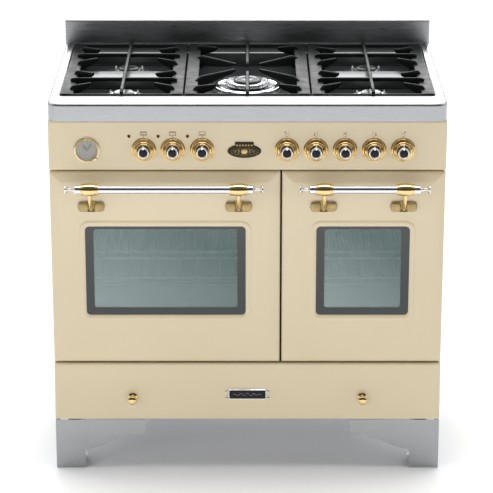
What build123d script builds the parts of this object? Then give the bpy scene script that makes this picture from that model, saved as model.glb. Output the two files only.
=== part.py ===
"""Freestanding dual-oven gas range, 900 mm wide, as separate pieces in one frame.

Millimetres. +X to the right, +Y to the back, +Z up. The origin is on the floor, in the
middle of the whole range, handles included. The control panel and the doors face -Y.
"""
from build123d import *
from math import atan, cos, degrees, radians, sin
import os

os.makedirs("parts", exist_ok=True)

# ---- overall sizes ----
width = 900.0
worktop_depth = 600.0
worktop_height = 890.0
backsplash_rise = 62.0
backsplash_thickness = 18.0

# ---- heights of the front, from the floor up ----
frame_upstand = 60.0
foot_height = 122.0
drawer_front_height = 140.0
control_panel_height = 115.0
worktop_skirt = 42.0
front_seam = 3.0

# ---- sheet thicknesses and clearances ----
sheet = 2.0
thin_sheet = 1.5
glass_thickness = 4.0
body_gap = 0.3
running_clearance = 0.05
seat_gap = 0.1

# ---- depths of the front pieces ----
front_setback = 6.0
bevel_width = 26.0
bevel_depth = 7.0
door_skin_depth = 30.0
door_depth = 36.0
door_to_frame = 3.0
drawer_front_depth = 20.0
panel_return = 34.0
back_recess = 30.0

# ---- doors and ovens ----
main_door_width = 525.0
door_seam = 3.5
pivot_back = 14.0
pivot_up = 16.0
window_drop = 131.0
window_height = 214.0
window_radius = 10.0
main_window_width = 367.0
side_window_width = 213.5
inner_window_border = 19.0
main_cavity_width = 445.0
side_cavity_width = 270.0
cavity_height = 390.0
cavity_depth = 420.0
cavity_rise = 32.0
rack_drop = 17.0
rack_rod = 3.0
rung_start = 85.0
rung_step = 65.0
rack_rungs = (1, 2)

# ---- handles ----
handle_radius = 8.75
handle_drop = 28.0
handle_reach = 50.0
socket_radius = 14.5
socket_length = 40.0
finial_length = 38.0
main_bracket_spacing = 331.0
side_bracket_spacing = 178.0
rosette_drop = 82.0
rosette_depth = 4.0
arm_thickness = 12.0
rosette_width = 61.0
rosette_height = 25.0

# ---- controls ----
knob_drop = 67.0
bezel_radius = 28.0
bezel_thickness = 5.0
spindle_radius = 4.0
knob_length = 27.0
push_travel = 3.5
oven_knob_x = (-234.0, -168.5, -102.0)
burner_knob_x = (89.0, 154.5, 220.0, 285.5, 351.0)
pilot_x = (-267.0, -201.0, -135.0)
pilot_drop = 36.0
pilot_radius = 3.5
clock_x = -362.0
clock_radius = 30.0
clock_knob_offset = 19.0
badge_x = -7.0
badge_depth = 3.5
name_plate_depth = 3.0
badge_width = 76.0
badge_height = 37.0

# ---- hob ----
recess_front = 65.0
recess_back = 573.0
recess_side_rim = 21.0
tray_depth = 38.0
corner_radius = 28.0
side_burner_d = (188.0, 428.0)
centre_burner_d = 300.0
side_burner_x = 287.0
centre_half_width = 145.0
grate_rise = 13.0
shelf_length = 272.0
shelf_depth = 66.0
shelf_drop = 10.0
grate_gap = 1.5

# ---- drawer ----
drawer_depth = 430.0
drawer_knob_x = 268.0
drawer_knob_drop = 83.0
name_plate_drop = 76.0
name_plate_width = 107.0
name_plate_height = 25.0

# ---- levels and planes worked out from the sizes above ----
half = width / 2
front_reach = handle_reach + socket_radius - front_setback
worktop_front = front_reach - (worktop_depth + front_reach) / 2
worktop_back = worktop_front + worktop_depth
face = worktop_front + front_setback
frame_front = face + door_depth + door_to_frame
back_face = worktop_back - back_recess
skirt_bottom = worktop_height - worktop_skirt
panel_top = skirt_bottom - body_gap
panel_bottom = panel_top - control_panel_height
drawer_bottom = foot_height + sheet
drawer_top = drawer_bottom + drawer_front_height
door_bottom = drawer_top + front_seam
door_top = panel_bottom - front_seam
door_height = door_top - door_bottom
knob_z = panel_top - knob_drop
split_x = -half + main_door_width
cavity_bottom = door_bottom + cavity_rise
tray_floor = worktop_height - tray_depth
plate_top = foot_height + sheet
handle_y = face - handle_reach
handle_z = door_top - handle_drop
bevel_angle = degrees(atan(bevel_width / bevel_depth))

MAIN = {"x0": -half, "x1": split_x, "window": main_window_width, "cavity": main_cavity_width,
        "spacing": main_bracket_spacing}
SIDE = {"x0": split_x + door_seam, "x1": half, "window": side_window_width,
        "cavity": side_cavity_width, "spacing": side_bracket_spacing}


def facing(y):
    """A plane that looks to the front at depth y, with x to the right and z up."""
    return Plane(origin=(0, y, 0), x_dir=(1, 0, 0), z_dir=(0, -1, 0))


def middle(door):
    return (door["x0"] + door["x1"]) / 2


def save(part, name):
    part.label = name
    export_step(part, f"parts/{name}.step")


def rod(points, radius, bend=0.0):
    """A round rod along straight runs, its corners rounded to the bend radius."""
    with BuildPart() as bar:
        with BuildLine() as path:
            if bend > 0:
                FilletPolyline(*points, radius=bend)
            else:
                Polyline(*points)
        with BuildSketch(Plane(origin=path.line @ 0, z_dir=path.line % 0)):
            Circle(radius)
        sweep(transition=Transition.ROUND)
    return bar.part


def turned(profile, origin, axis):
    """A solid of revolution: profile points are (distance along the axis, radius)."""
    with BuildPart() as piece:
        across = Vector(0, 0, 1) if abs(Vector(*axis).Z) < 0.5 else Vector(1, 0, 0)
        with BuildSketch(Plane(origin=origin, x_dir=axis, z_dir=across)):
            with BuildLine():
                Polyline((profile[0][0], 0), *profile, (profile[-1][0], 0), close=True)
            make_face()
        revolve(axis=Axis(origin, axis))
    return piece.part


# ======================= worktop and hob =======================

top_edge_radius = 7.0


def worktop_block(inset, height):
    """A slab with rounded front corners and a rounded rim, inset all round from the worktop."""
    with BuildPart() as block:
        with BuildSketch(Plane.XY.offset(skirt_bottom)):
            with Locations((0, worktop_front + worktop_depth / 2)):
                outline = Rectangle(width - 2 * inset, worktop_depth - 2 * inset)
            fillet(outline.vertices().group_by(Axis.Y)[0], radius=corner_radius - inset)
        extrude(amount=height)
        rim = block.faces().sort_by(Axis.Z)[-1].edges()
        fillet(rim, radius=top_edge_radius - inset)
    return block.part


with BuildPart() as worktop:
    add(worktop_block(0, worktop_skirt))
    add(worktop_block(sheet, worktop_skirt - sheet), mode=Mode.SUBTRACT)
    with BuildSketch(Plane.XY.offset(worktop_height)):
        with Locations((0, worktop_front + (recess_front + recess_back) / 2)):
            RectangleRounded(width - 2 * recess_side_rim, recess_back - recess_front, 12)
    extrude(amount=-2 * sheet, mode=Mode.SUBTRACT)
save(worktop.part, "worktop")

burners = [(-side_burner_x, worktop_front + side_burner_d[0], "medium"),
           (-side_burner_x, worktop_front + side_burner_d[1], "medium"),
           (0.0, worktop_front + centre_burner_d, "wok"),
           (side_burner_x, worktop_front + side_burner_d[1], "medium"),
           (side_burner_x, worktop_front + side_burner_d[0], "medium")]
cup_radius = {"medium": 36.0, "wok": 62.0}
cap_radius = {"medium": 33.0, "wok": 46.0}
flange = 10.0
tray_outer_x = width - 2 * recess_side_rim
tray_outer_y = recess_back - recess_front
tray_y = worktop_front + (recess_front + recess_back) / 2
flange_z = worktop_height - sheet - body_gap

with BuildPart() as hob_tray:
    with BuildSketch(Plane.XY.offset(flange_z)):
        with Locations((0, tray_y)):
            RectangleRounded(tray_outer_x + 2 * flange, tray_outer_y + 2 * flange, 14)
    extrude(amount=-thin_sheet)
    with BuildSketch(Plane.XY.offset(flange_z)):
        with Locations((0, tray_y)):
            RectangleRounded(tray_outer_x, tray_outer_y, 12)
    extrude(amount=tray_floor - thin_sheet - flange_z)
    with BuildSketch(Plane.XY.offset(tray_floor)):
        with Locations((0, tray_y)):
            RectangleRounded(tray_outer_x - 2 * thin_sheet, tray_outer_y - 2 * thin_sheet, 10)
    extrude(amount=tray_depth, mode=Mode.SUBTRACT)
    for x, y, kind in burners:
        with BuildSketch(Plane.XY.offset(tray_floor + thin_sheet)):
            with Locations((x, y)):
                Circle(cup_radius[kind] + body_gap)
        extrude(amount=-4 * thin_sheet, mode=Mode.SUBTRACT)
    shelves = [(side * side_burner_x, worktop_front + sum(side_burner_d) / 2) for side in (-1, 1)]
    shelf_top = worktop_height - shelf_drop
    with BuildSketch(Plane.XY.offset(tray_floor - thin_sheet)):
        with Locations(*shelves):
            RectangleRounded(shelf_length, shelf_depth, 4)
    extrude(amount=shelf_top - tray_floor + thin_sheet)
    with BuildSketch(Plane.XY.offset(tray_floor - thin_sheet)):
        with Locations(*shelves):
            RectangleRounded(shelf_length - 2 * thin_sheet, shelf_depth - 2 * thin_sheet, 3)
    extrude(amount=shelf_top - tray_floor, mode=Mode.SUBTRACT)
save(hob_tray.part, "hob_tray")

with BuildPart() as backsplash:
    with BuildSketch(Plane.XY.offset(worktop_height)):
        with Locations((0, worktop_back - backsplash_thickness / 2)):
            Rectangle(width, backsplash_thickness)
    extrude(amount=backsplash_rise)
    fillet(backsplash.faces().sort_by(Axis.Z)[-1].edges().sort_by(Axis.Y)[0], radius=5)
    with BuildSketch(Plane.XY.offset(worktop_height)):
        with Locations((0, worktop_back - backsplash_thickness / 2 + sheet)):
            Rectangle(width - 2 * sheet, backsplash_thickness)
    extrude(amount=backsplash_rise - sheet, mode=Mode.SUBTRACT)
save(backsplash.part, "backsplash")

# ---- burners: cup through the tray, crown on the cup, cap on the crown ----
cup_drop = 26.0
cup_lip = 5.0
crown_height = {"medium": 9.0, "wok": 12.0}
cap_height = 4.5


def burner_pieces(x, y, kind):
    """Cup, crown and cap of one burner, turned about its vertical axis."""
    top = tray_floor + cup_lip
    cup = turned([(tray_floor - cup_drop, 10), (tray_floor - cup_drop + 4, 22),
                  (tray_floor - 8, cup_radius[kind] - 3), (tray_floor + 0.1, cup_radius[kind] - 2),
                  (tray_floor + 0.1, cup_radius[kind] + 6), (top - 1.5, cup_radius[kind] + 6),
                  (top, cup_radius[kind] + 3)], (x, y, 0), (0, 0, 1))
    crown_top = top + crown_height[kind]
    crown = turned([(top, cap_radius[kind] - 5), (top + 3, cap_radius[kind] + 1),
                    (crown_top - 1, cap_radius[kind] + 1), (crown_top, cap_radius[kind] - 1)],
                   (x, y, 0), (0, 0, 1))
    cap = turned([(crown_top, cap_radius[kind]), (crown_top + cap_height - 2, cap_radius[kind]),
                  (crown_top + cap_height, cap_radius[kind] - 4)], (x, y, 0), (0, 0, 1))
    with BuildPart() as slotted:
        add(crown)
        ports = 24 if kind == "medium" else 36
        with BuildSketch(Plane.XY.offset(crown_top)):
            with Locations((x, y)):
                with PolarLocations(cap_radius[kind], ports):
                    Rectangle(6, 2)
        extrude(amount=-5, mode=Mode.SUBTRACT)
    return cup, slotted.part, cap


cups, crowns, caps, electrodes = [], [], [], []
for x, y, kind in burners:
    cup, crown, cap = burner_pieces(x, y, kind)
    cups.append(cup)
    crowns.append(crown)
    caps.append(cap)
    reach = cap_radius[kind] + 5.5
    for turn in (35, 145):
        base = (x + reach * cos(radians(turn)), y + reach * sin(radians(turn)), 0)
        foot = tray_floor + cup_lip
        electrodes.append(turned([(foot, 2.5), (foot + 7, 2.5), (foot + 8, 1.0), (foot + 11, 1.0)],
                                 base, (0, 0, 1)))
for group, name in ((cups + crowns, "burner_bodies"), (caps, "burner_caps"),
                    (electrodes, "burner_electrodes")):
    save(Compound(children=group), name)

# ---- cast grates ----
bar = 8.0
band = 30.0
grate_bottom = worktop_height - 2.0
grate_top = worktop_height + grate_rise
grate_front = worktop_front + recess_front + thin_sheet + 2.0
grate_back = worktop_front + recess_back - thin_sheet - 2.0
side_grate_outer = half - recess_side_rim - thin_sheet - 2.0


def grate(x0, x1, centres, wings):
    """A grate from x0 to x1: side bands, end bars, ribs, wing fingers and four feet."""
    length = grate_back - grate_front
    mid_x, mid_y = (x0 + x1) / 2, (grate_front + grate_back) / 2
    with BuildPart() as casting:
        with BuildSketch(Plane.XY.offset(grate_bottom)):
            with Locations((mid_x, mid_y)):
                RectangleRounded(x1 - x0, length, 10)
                Rectangle(x1 - x0 - 2 * band, length - 2 * bar, mode=Mode.SUBTRACT)
        extrude(amount=6)
        with BuildSketch(Plane.XY.offset(grate_bottom)):
            for y in centres:
                with Locations((mid_x, y)):
                    Rectangle(x1 - x0 - band, bar)
            for span in rib_spans(centres):
                with Locations((mid_x, (span[0] + span[1]) / 2)):
                    Rectangle(bar, span[1] - span[0])
        extrude(amount=grate_top - grate_bottom)
        for x, y, turn, reach in wings:
            with BuildSketch(Plane(origin=(x, y, 0), x_dir=(cos(radians(turn)), sin(radians(turn)), 0),
                                   z_dir=(sin(radians(turn)), -cos(radians(turn)), 0))):
                with BuildLine():
                    Polyline((-12, grate_bottom), (0, grate_top), (reach, grate_top),
                             (reach, grate_top - 6), (14, grate_bottom - 8), (-12, grate_bottom - 8),
                             close=True)
                make_face()
            extrude(amount=bar / 2, both=True)
        with BuildSketch(Plane.XY.offset(tray_floor + body_gap)):
            with Locations((mid_x, mid_y)):
                with GridLocations(x1 - x0 - band, length - band, 2, 2):
                    Circle(6)
        extrude(until=Until.NEXT)
    return casting.part


def rib_spans(centres):
    """Front-to-back stretches of the middle rib; a single burner leaves its centre open."""
    if len(centres) > 1:
        return [(grate_front + 1, grate_back - 1)]
    opening = cap_radius["wok"] - 8
    y = worktop_front + centre_burner_d
    return [(grate_front + 1, y - opening), (y + opening, grate_back - 1)]


def side_wings(x0, x1):
    """Fingers from both side bands that point at each burner of a side grate."""
    wings = []
    for d in side_burner_d:
        for side in (-1, 1):
            root = (x1 - band + 2) if side > 0 else (x0 + band - 2)
            for ahead in (-1, 1):
                turn = (90 + side * 90) - side * ahead * 20
                wings.append((root, worktop_front + d + ahead * 72, turn, 46))
    return wings


def wok_arms(x0, x1):
    """Long arms from the corners of the middle grate towards its single burner."""
    y = worktop_front + centre_burner_d
    arms = []
    for side in (-1, 1):
        root = (x1 - band + 2) if side > 0 else (x0 + band - 2)
        for ahead, offset in ((-1, 105), (1, 120)):
            turn = degrees(atan(offset / (abs(root))))
            heading = (180 - ahead * -turn) if side > 0 else (ahead * -turn)
            reach = (root ** 2 + offset ** 2) ** 0.5 - cap_radius["wok"] + 6
            arms.append((root, y + ahead * offset, heading, reach))
        for ahead, offset in ((-1, 190), (1, 215)):
            heading = (180 + ahead * 20) if side > 0 else (-ahead * 20)
            arms.append((root, y + ahead * offset, heading, 46))
    return arms


side_centres = [worktop_front + d for d in side_burner_d]
inner_x = centre_half_width + grate_gap
left_grate = grate(-side_grate_outer, -inner_x, side_centres, side_wings(-side_grate_outer, -inner_x))
centre_x = centre_half_width - grate_gap
centre_grate = grate(-centre_x, centre_x, [], wok_arms(-centre_x, centre_x))
right_grate = grate(inner_x, side_grate_outer, side_centres, side_wings(inner_x, side_grate_outer))
save(left_grate, "left_grate")
save(centre_grate, "centre_grate")
save(right_grate, "right_grate")

# ======================= carcass =======================

side_inner = half - thin_sheet


def frame_opening(door):
    """Centre x and width of the frame opening of a door's oven."""
    return middle(door), door["cavity"] + 2 * thin_sheet


with BuildPart() as front_frame:
    with BuildSketch(facing(frame_front + sheet)):
        with Locations((0, (plate_top + skirt_bottom - body_gap) / 2)):
            Rectangle(2 * side_inner - 2 * body_gap, skirt_bottom - body_gap - plate_top)
        for door in (MAIN, SIDE):
            with Locations((frame_opening(door)[0], cavity_bottom + cavity_height / 2)):
                RectangleRounded(frame_opening(door)[1], cavity_height + 2 * thin_sheet, 12,
                                 mode=Mode.SUBTRACT)
        with Locations((0, (plate_top + 4 + drawer_top - 6) / 2)):
            Rectangle(width - 44, drawer_top - plate_top - 10, mode=Mode.SUBTRACT)
        with Locations((0, (door_top + 16 + skirt_bottom - 12) / 2)):
            Rectangle(width - 60, skirt_bottom - door_top - 28, mode=Mode.SUBTRACT)
    extrude(amount=sheet)

panel_front = face + door_depth + 2 * body_gap
with BuildPart() as side_panels:
    for side in (-1, 1):
        with BuildSketch(Plane.XY.offset(foot_height)):
            with Locations((side * (half - thin_sheet / 2), (panel_front + back_face) / 2)):
                Rectangle(thin_sheet, back_face - panel_front)
        extrude(amount=skirt_bottom - body_gap - foot_height)
save(side_panels.part, "side_panels")

inlet_x, inlet_z = half - 50.0, knob_z
inlet_length = 20.0
vent_centre_z = 640.0
vent_slot = (56.0, 5.0)
gland_x, gland_z = -half + 90.0, 190.0
inlet_radius = 9.0
with BuildPart() as back_panel:
    with BuildSketch(facing(back_face)):
        with Locations((0, (plate_top + skirt_bottom - body_gap) / 2)):
            Rectangle(2 * side_inner - 2 * body_gap, skirt_bottom - body_gap - plate_top)
        with Locations((0, vent_centre_z)):
            with GridLocations(80, 16, 8, 4):
                SlotOverall(*vent_slot, mode=Mode.SUBTRACT)
        with Locations((inlet_x, inlet_z)):
            Circle(inlet_radius + 2, mode=Mode.SUBTRACT)
        with Locations((gland_x, gland_z)):
            Circle(8 + body_gap, mode=Mode.SUBTRACT)
    extrude(amount=sheet)
save(back_panel.part, "back_panel")

with BuildPart() as base_frame:
    with BuildSketch(Plane.XY.offset(foot_height)):
        with Locations((0, (frame_front + back_face) / 2)):
            Rectangle(2 * side_inner - 2 * body_gap, back_face - frame_front)
        with Locations((0, (frame_front + back_face) / 2)):
            Rectangle(width - 300, back_face - frame_front - 160, mode=Mode.SUBTRACT)
    extrude(amount=sheet)
    for side in (-1, 1):
        with BuildSketch(Plane.XY.offset(foot_height)):
            with Locations((side * (side_inner - body_gap - sheet / 2),
                            (frame_front + sheet + back_face - sheet) / 2)):
                Rectangle(sheet, back_face - frame_front - 2 * sheet - 2 * body_gap)
        extrude(amount=frame_upstand)
save(base_frame.part, "base_frame")

# ---- bracket feet: an ogee plate to the front, wrapped round the corner ----
foot_width = 210.0
foot_leg = 69.0
foot_drop = 36.0
foot_sheet = 1.5
foot_side = 120.0
floor_gap = 1.0


def bracket_foot(side):
    """Front plate with an ogee lower edge and a plain return along the side."""
    outer = half * side
    inner = outer - side * foot_width
    leg = outer - side * foot_leg
    low = foot_height - foot_drop
    step = 47.0
    with BuildPart() as foot:
        with BuildSketch(facing(face + 3 + foot_sheet)):
            with BuildLine():
                Polyline((leg, step), (leg, floor_gap), (outer, floor_gap), (outer, foot_height),
                         (inner, foot_height), (inner, low), (inner + side * 24, low))
                Spline((inner + side * 24, low), (inner + side * 76, low - 17), (leg, step),
                       tangents=[(side, 0), (side, -0.1)])
            make_face()
        extrude(amount=foot_sheet)
        with BuildSketch(Plane.XY.offset(floor_gap)):
            with Locations((outer - side * foot_sheet / 2, face + 3 + foot_side / 2)):
                Rectangle(foot_sheet, foot_side)
        extrude(amount=foot_height - floor_gap)
    return foot.part


save(Compound(children=[bracket_foot(-1), bracket_foot(1)]), "bracket_feet")

feet = []
for x in (-half + 45, half - 45):
    for y in (face + 60, back_face - 45):
        feet.append(turned([(0, 24), (10, 24), (14, 14), (foot_height - 40, 14),
                            (foot_height - 40, 20), (foot_height, 20)], (x, y, 0), (0, 0, 1)))
save(Compound(children=feet), "levelling_feet")

# ======================= ovens =======================


def oven_cavity(door):
    """An open-fronted enamel box that starts at the back of the front frame."""
    start = frame_front + sheet
    wide = door["cavity"]
    with BuildPart() as cavity:
        with BuildSketch(facing(start + cavity_depth + thin_sheet)):
            with Locations((middle(door), cavity_bottom + cavity_height / 2)):
                RectangleRounded(wide + 2 * thin_sheet, cavity_height + 2 * thin_sheet, 12)
        extrude(amount=cavity_depth + thin_sheet)
        with BuildSketch(facing(start + cavity_depth)):
            with Locations((middle(door), cavity_bottom + cavity_height / 2)):
                RectangleRounded(wide, cavity_height, 10.5)
        extrude(amount=cavity_depth, mode=Mode.SUBTRACT)
    return cavity.part


save(oven_cavity(MAIN), "main_oven_cavity")
save(oven_cavity(SIDE), "side_oven_cavity")

rack_side_gap = 6.0


def rack_support(door, side):
    """A wire ladder on one side wall of an oven."""
    wall = middle(door) + side * (door["cavity"] / 2 - 3)
    y0, y1 = frame_front + 30, frame_front + cavity_depth - 20
    with BuildPart() as ladder:
        for y in (y0 + 20, y1 - 20):
            with BuildSketch(Plane.XY.offset(cavity_bottom + 40)):
                with Locations((wall, y)):
                    Circle(2)
            extrude(amount=cavity_height - 80)
        for rung in range(5):
            z = cavity_bottom + rung_start + rung * rung_step
            with BuildSketch(facing(y1)):
                with Locations((wall - side * 4, z)):
                    Rectangle(10, 3)
            extrude(amount=y1 - y0)
    return ladder.part


def wire_rack(door, rung):
    """A shelf of rods: a double front rail, a frame and lengthwise bars."""
    z = cavity_bottom + rung_start + rung * rung_step + 1.5 + body_gap + rack_rod
    wide = door["cavity"] - 2 * rack_side_gap
    y0, y1 = frame_front + 24, frame_front + cavity_depth - 24
    with BuildPart() as rack:
        for y in (y0, y1 - rack_rod, (y0 + y1) / 2):
            with BuildSketch(Plane.YZ.offset(middle(door) - wide / 2)):
                with Locations((y + rack_rod / 2, z)):
                    Circle(rack_rod)
            extrude(amount=wide)
        with BuildSketch(Plane.YZ.offset(middle(door) - wide / 2 + 30)):
            with Locations((y0 + rack_rod / 2, z - 17)):
                Circle(rack_rod)
        extrude(amount=wide - 60)
        with BuildSketch(facing(y1)):
            with Locations((middle(door), z)):
                with GridLocations((wide - 2 * rack_rod) / 14, 1, 15, 1):
                    Circle(rack_rod * 0.7)
        extrude(amount=y1 - y0)
        for side in (-1, 1):
            with BuildSketch(Plane.XY.offset(z - rack_drop)):
                with Locations((middle(door) + side * (wide / 2 - 33), y0 + rack_rod / 2)):
                    Circle(rack_rod * 0.8)
            extrude(amount=rack_drop)
    return rack.part


supports, racks = [], []
for door in (MAIN, SIDE):
    supports += [rack_support(door, side) for side in (-1, 1)]
    racks += [wire_rack(door, rung) for rung in rack_rungs]
save(Compound(children=supports + racks), "oven_racks")


def grill_element(door):
    """A looped heating rod under the oven roof."""
    z = cavity_bottom + cavity_height - 22
    wide = door["cavity"] / 2 - 45
    back = frame_front + sheet + cavity_depth
    centre = middle(door)
    points = [(centre - 20, back, z), (centre - 20, back - 60, z), (centre - wide, back - 60, z),
              (centre - wide, frame_front + 70, z), (centre + wide, frame_front + 70, z),
              (centre + wide, back - 60, z), (centre + 20, back - 60, z), (centre + 20, back, z)]
    return rod(points, 3.5, bend=14)


save(Compound(children=[grill_element(MAIN), grill_element(SIDE)]), "grill_elements")

# ======================= doors =======================


def door_outline(door, inset):
    return door["x1"] - door["x0"] - 2 * inset, door_height - 2 * inset


def window_centre_z():
    return door_top - window_drop - window_height / 2


hinge_inset = 70.0
hinge_width = 8.0
hinge_slot = hinge_width + 1.6
hinge_pin = 3.0
pivot_y = face + pivot_back
pivot_z = door_bottom + pivot_up


def hinge_places(door):
    return (door["x0"] + hinge_inset, door["x1"] - hinge_inset)


def hinge_slots(door, y0, top):
    """Blocks that clear the hinge brackets, from the door's lower edge up to top."""
    with BuildPart() as slots:
        with BuildSketch(Plane.XY.offset(door_bottom - 1)):
            for x in hinge_places(door):
                with Locations((x, (y0 + face + door_depth + 1) / 2)):
                    Rectangle(hinge_slot, face + door_depth + 1 - y0)
        extrude(amount=top - door_bottom + 1)
    return slots.part


def door_skin(door):
    """Pressed front with a sloped border, hollow behind, with the window cut through."""
    centre = (middle(door), (door_bottom + door_top) / 2)
    with BuildPart() as skin:
        for inset, shift, mode in ((0, 0, Mode.ADD), (sheet, sheet, Mode.SUBTRACT)):
            with BuildSketch(facing(face + bevel_depth + shift)):
                with Locations(centre):
                    Rectangle(*door_outline(door, inset))
            extrude(amount=bevel_depth, taper=bevel_angle, mode=mode)
            with BuildSketch(facing(face + door_skin_depth)):
                with Locations(centre):
                    Rectangle(*door_outline(door, inset))
            extrude(amount=door_skin_depth - bevel_depth - shift, mode=mode)
        with BuildSketch(facing(face + door_skin_depth)):
            with Locations((middle(door), window_centre_z())):
                RectangleRounded(door["window"], window_height, window_radius)
        extrude(amount=door_skin_depth, mode=Mode.SUBTRACT)
        add(hinge_slots(door, face + bevel_depth + sheet + 0.2, pivot_z), mode=Mode.SUBTRACT)
    return skin.part


liner_inset = 10.0


def door_liner(door):
    """Inner pan of a door with its own smaller window."""
    centre = (middle(door), (door_bottom + door_top) / 2)
    opening = (door["window"] - 2 * inner_window_border, window_height - 2 * inner_window_border)
    with BuildPart() as liner:
        with BuildSketch(facing(face + door_depth)):
            with Locations(centre):
                Rectangle(*door_outline(door, liner_inset))
        extrude(amount=door_depth - bevel_depth - 16)
        with BuildSketch(facing(face + door_depth - sheet)):
            with Locations(centre):
                Rectangle(*door_outline(door, liner_inset + thin_sheet))
        extrude(amount=door_depth, mode=Mode.SUBTRACT)
        with BuildSketch(facing(face + door_depth)):
            with Locations((middle(door), window_centre_z())):
                RectangleRounded(*opening, window_radius)
        extrude(amount=door_depth, mode=Mode.SUBTRACT)
        add(hinge_slots(door, face + bevel_depth + sheet, pivot_z + 8), mode=Mode.SUBTRACT)
        for x in hinge_places(door):
            for side in (-1, 1):
                with BuildSketch(Plane.YZ.offset(x + side * (hinge_slot / 2 + 1.5))):
                    with BuildLine():
                        Polyline((pivot_y - 5, pivot_z - 5), (face + door_depth - 1, pivot_z - 5),
                                 (face + door_depth - 1, pivot_z + 16), (pivot_y + 12, pivot_z + 12),
                                 (pivot_y - 5, pivot_z + 5), close=True)
                    make_face()
                extrude(amount=1.5, both=True)
            with BuildSketch(Plane.YZ.offset(x)):
                with Locations((pivot_y, pivot_z)):
                    Circle(hinge_pin)
            extrude(amount=hinge_slot / 2 + 3, both=True)
    return liner.part


def hinge_bracket(x):
    """A fixed arm from the front frame that carries the door's pin in its eye."""
    with BuildPart() as bracket:
        with BuildSketch(Plane.YZ.offset(x)):
            with Locations((pivot_y, pivot_z)):
                Circle(hinge_pin + 2.5)
            with Locations(((pivot_y + frame_front) / 2, pivot_z + 1.25)):
                Rectangle(frame_front - pivot_y, 9.5)
            with Locations((pivot_y, pivot_z)):
                Circle(hinge_pin + running_clearance, mode=Mode.SUBTRACT)
        extrude(amount=hinge_width / 2, both=True)
        with BuildSketch(facing(frame_front)):
            with Locations((x, pivot_z)):
                Rectangle(26, 30)
        extrude(amount=1.5)
    return bracket.part


pane_overlap = 12.0


def door_glasses(door):
    """Outer pane behind the skin and inner pane in front of the liner."""
    with BuildPart() as outer:
        with BuildSketch(facing(face + sheet + glass_thickness)):
            with Locations((middle(door), window_centre_z())):
                Rectangle(door["window"] + 2 * pane_overlap, window_height + 2 * pane_overlap)
        extrude(amount=glass_thickness)
    with BuildPart() as inner:
        with BuildSketch(facing(face + door_depth - sheet)):
            with Locations((middle(door), window_centre_z())):
                Rectangle(door["window"], window_height)
        extrude(amount=glass_thickness)
    return Compound(children=[outer.part, inner.part])


def handle(door):
    """Chrome bar with a turned finial at each end, one piece."""
    reach = door["spacing"] / 2 + socket_length / 2
    r = handle_radius
    finial = [(0, r), (0, r + 4), (5, r + 4), (8, r - 1), (14, r - 3.5), (20, r - 1), (24, r + 2.5),
              (28, r + 3), (31, r), (32.5, r - 3), (34, r - 0.5), (finial_length - 1, r - 0.5),
              (finial_length, r - 2)]
    right = [(reach + step, radius) for step, radius in finial]
    left = [(-reach - step, radius) for step, radius in reversed(finial)]
    return turned(left + right, (middle(door), handle_y, handle_z), (1, 0, 0))


def handle_mount(x):
    """Brass rosette on the door, curved arm and the socket that holds the bar."""
    rosette_z = door_top - rosette_drop
    with BuildPart() as mount:
        with BuildSketch(facing(face)):
            with Locations((x - rosette_width / 4, rosette_z), (x + rosette_width / 4, rosette_z)):
                Ellipse(rosette_width / 4 + 2, rosette_height / 2)
            with Locations((x, rosette_z)):
                Rectangle(rosette_width / 2, rosette_height * 0.7)
        extrude(amount=rosette_depth)
        with BuildSketch(Plane.YZ.offset(x - arm_thickness / 2)):
            with BuildLine():
                Polyline((face - 3, rosette_z + 9), (face - 3, rosette_z - 9), (face - 18, rosette_z - 8),
                         (face - 36, rosette_z + 8), (handle_y - 5, handle_z - 12),
                         (handle_y + 9, handle_z - 10), (face - 26, rosette_z + 20),
                         (face - 12, rosette_z + 8), close=True)
            make_face()
        extrude(amount=arm_thickness)
        with BuildSketch(Plane.YZ.offset(x - socket_length / 2)):
            with Locations((handle_y, handle_z)):
                Circle(socket_radius)
        extrude(amount=socket_length)
        with BuildSketch(Plane.YZ.offset(x - socket_length / 2)):
            with Locations((handle_y, handle_z)):
                Circle(handle_radius + running_clearance)
        extrude(amount=socket_length, mode=Mode.SUBTRACT)
    return mount.part


def handle_mounts(door):
    return Compound(children=[handle_mount(middle(door) + side * door["spacing"] / 2)
                              for side in (-1, 1)])


for door, name in ((MAIN, "main_door"), (SIDE, "side_door")):
    save(door_skin(door), f"{name}_skin")
    save(door_liner(door), f"{name}_liner")
    save(door_glasses(door), f"{name}_glasses")
    save(handle(door), f"{name}_handle")
    save(handle_mounts(door), f"{name}_handle_mounts")

hinge_brackets = [hinge_bracket(x) for door in (MAIN, SIDE) for x in hinge_places(door)]
save(Compound(children=[front_frame.part] + hinge_brackets), "front_frame")

# ======================= storage drawer =======================

drawer_centre_z = (drawer_bottom + drawer_top) / 2
tray_half = half - 40.0
with BuildPart() as drawer_front:
    for inset, mode in ((0, Mode.ADD), (sheet, Mode.SUBTRACT)):
        with BuildSketch(facing(face + drawer_front_depth)):
            with Locations((0, drawer_centre_z)):
                Rectangle(width - 2 * inset, drawer_front_height - 2 * inset)
        extrude(amount=drawer_front_depth - inset, mode=mode)
    fillet(drawer_front.faces().sort_by(Axis.Y)[0].outer_wire().edges(), radius=1.8)
save(drawer_front.part, "drawer_front")

drawer_box_front = face + drawer_front_depth
with BuildPart() as drawer_box:
    with BuildSketch(Plane.XY.offset(drawer_bottom + 14)):
        with Locations((0, drawer_box_front + drawer_depth / 2)):
            Rectangle(2 * tray_half, drawer_depth)
    extrude(amount=drawer_front_height - 40)
    with BuildSketch(Plane.XY.offset(drawer_bottom + 14 + thin_sheet)):
        with Locations((0, drawer_box_front + drawer_depth / 2)):
            Rectangle(2 * (tray_half - thin_sheet), drawer_depth - 2 * thin_sheet)
    extrude(amount=drawer_front_height, mode=Mode.SUBTRACT)
save(drawer_box.part, "drawer_box")

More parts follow.
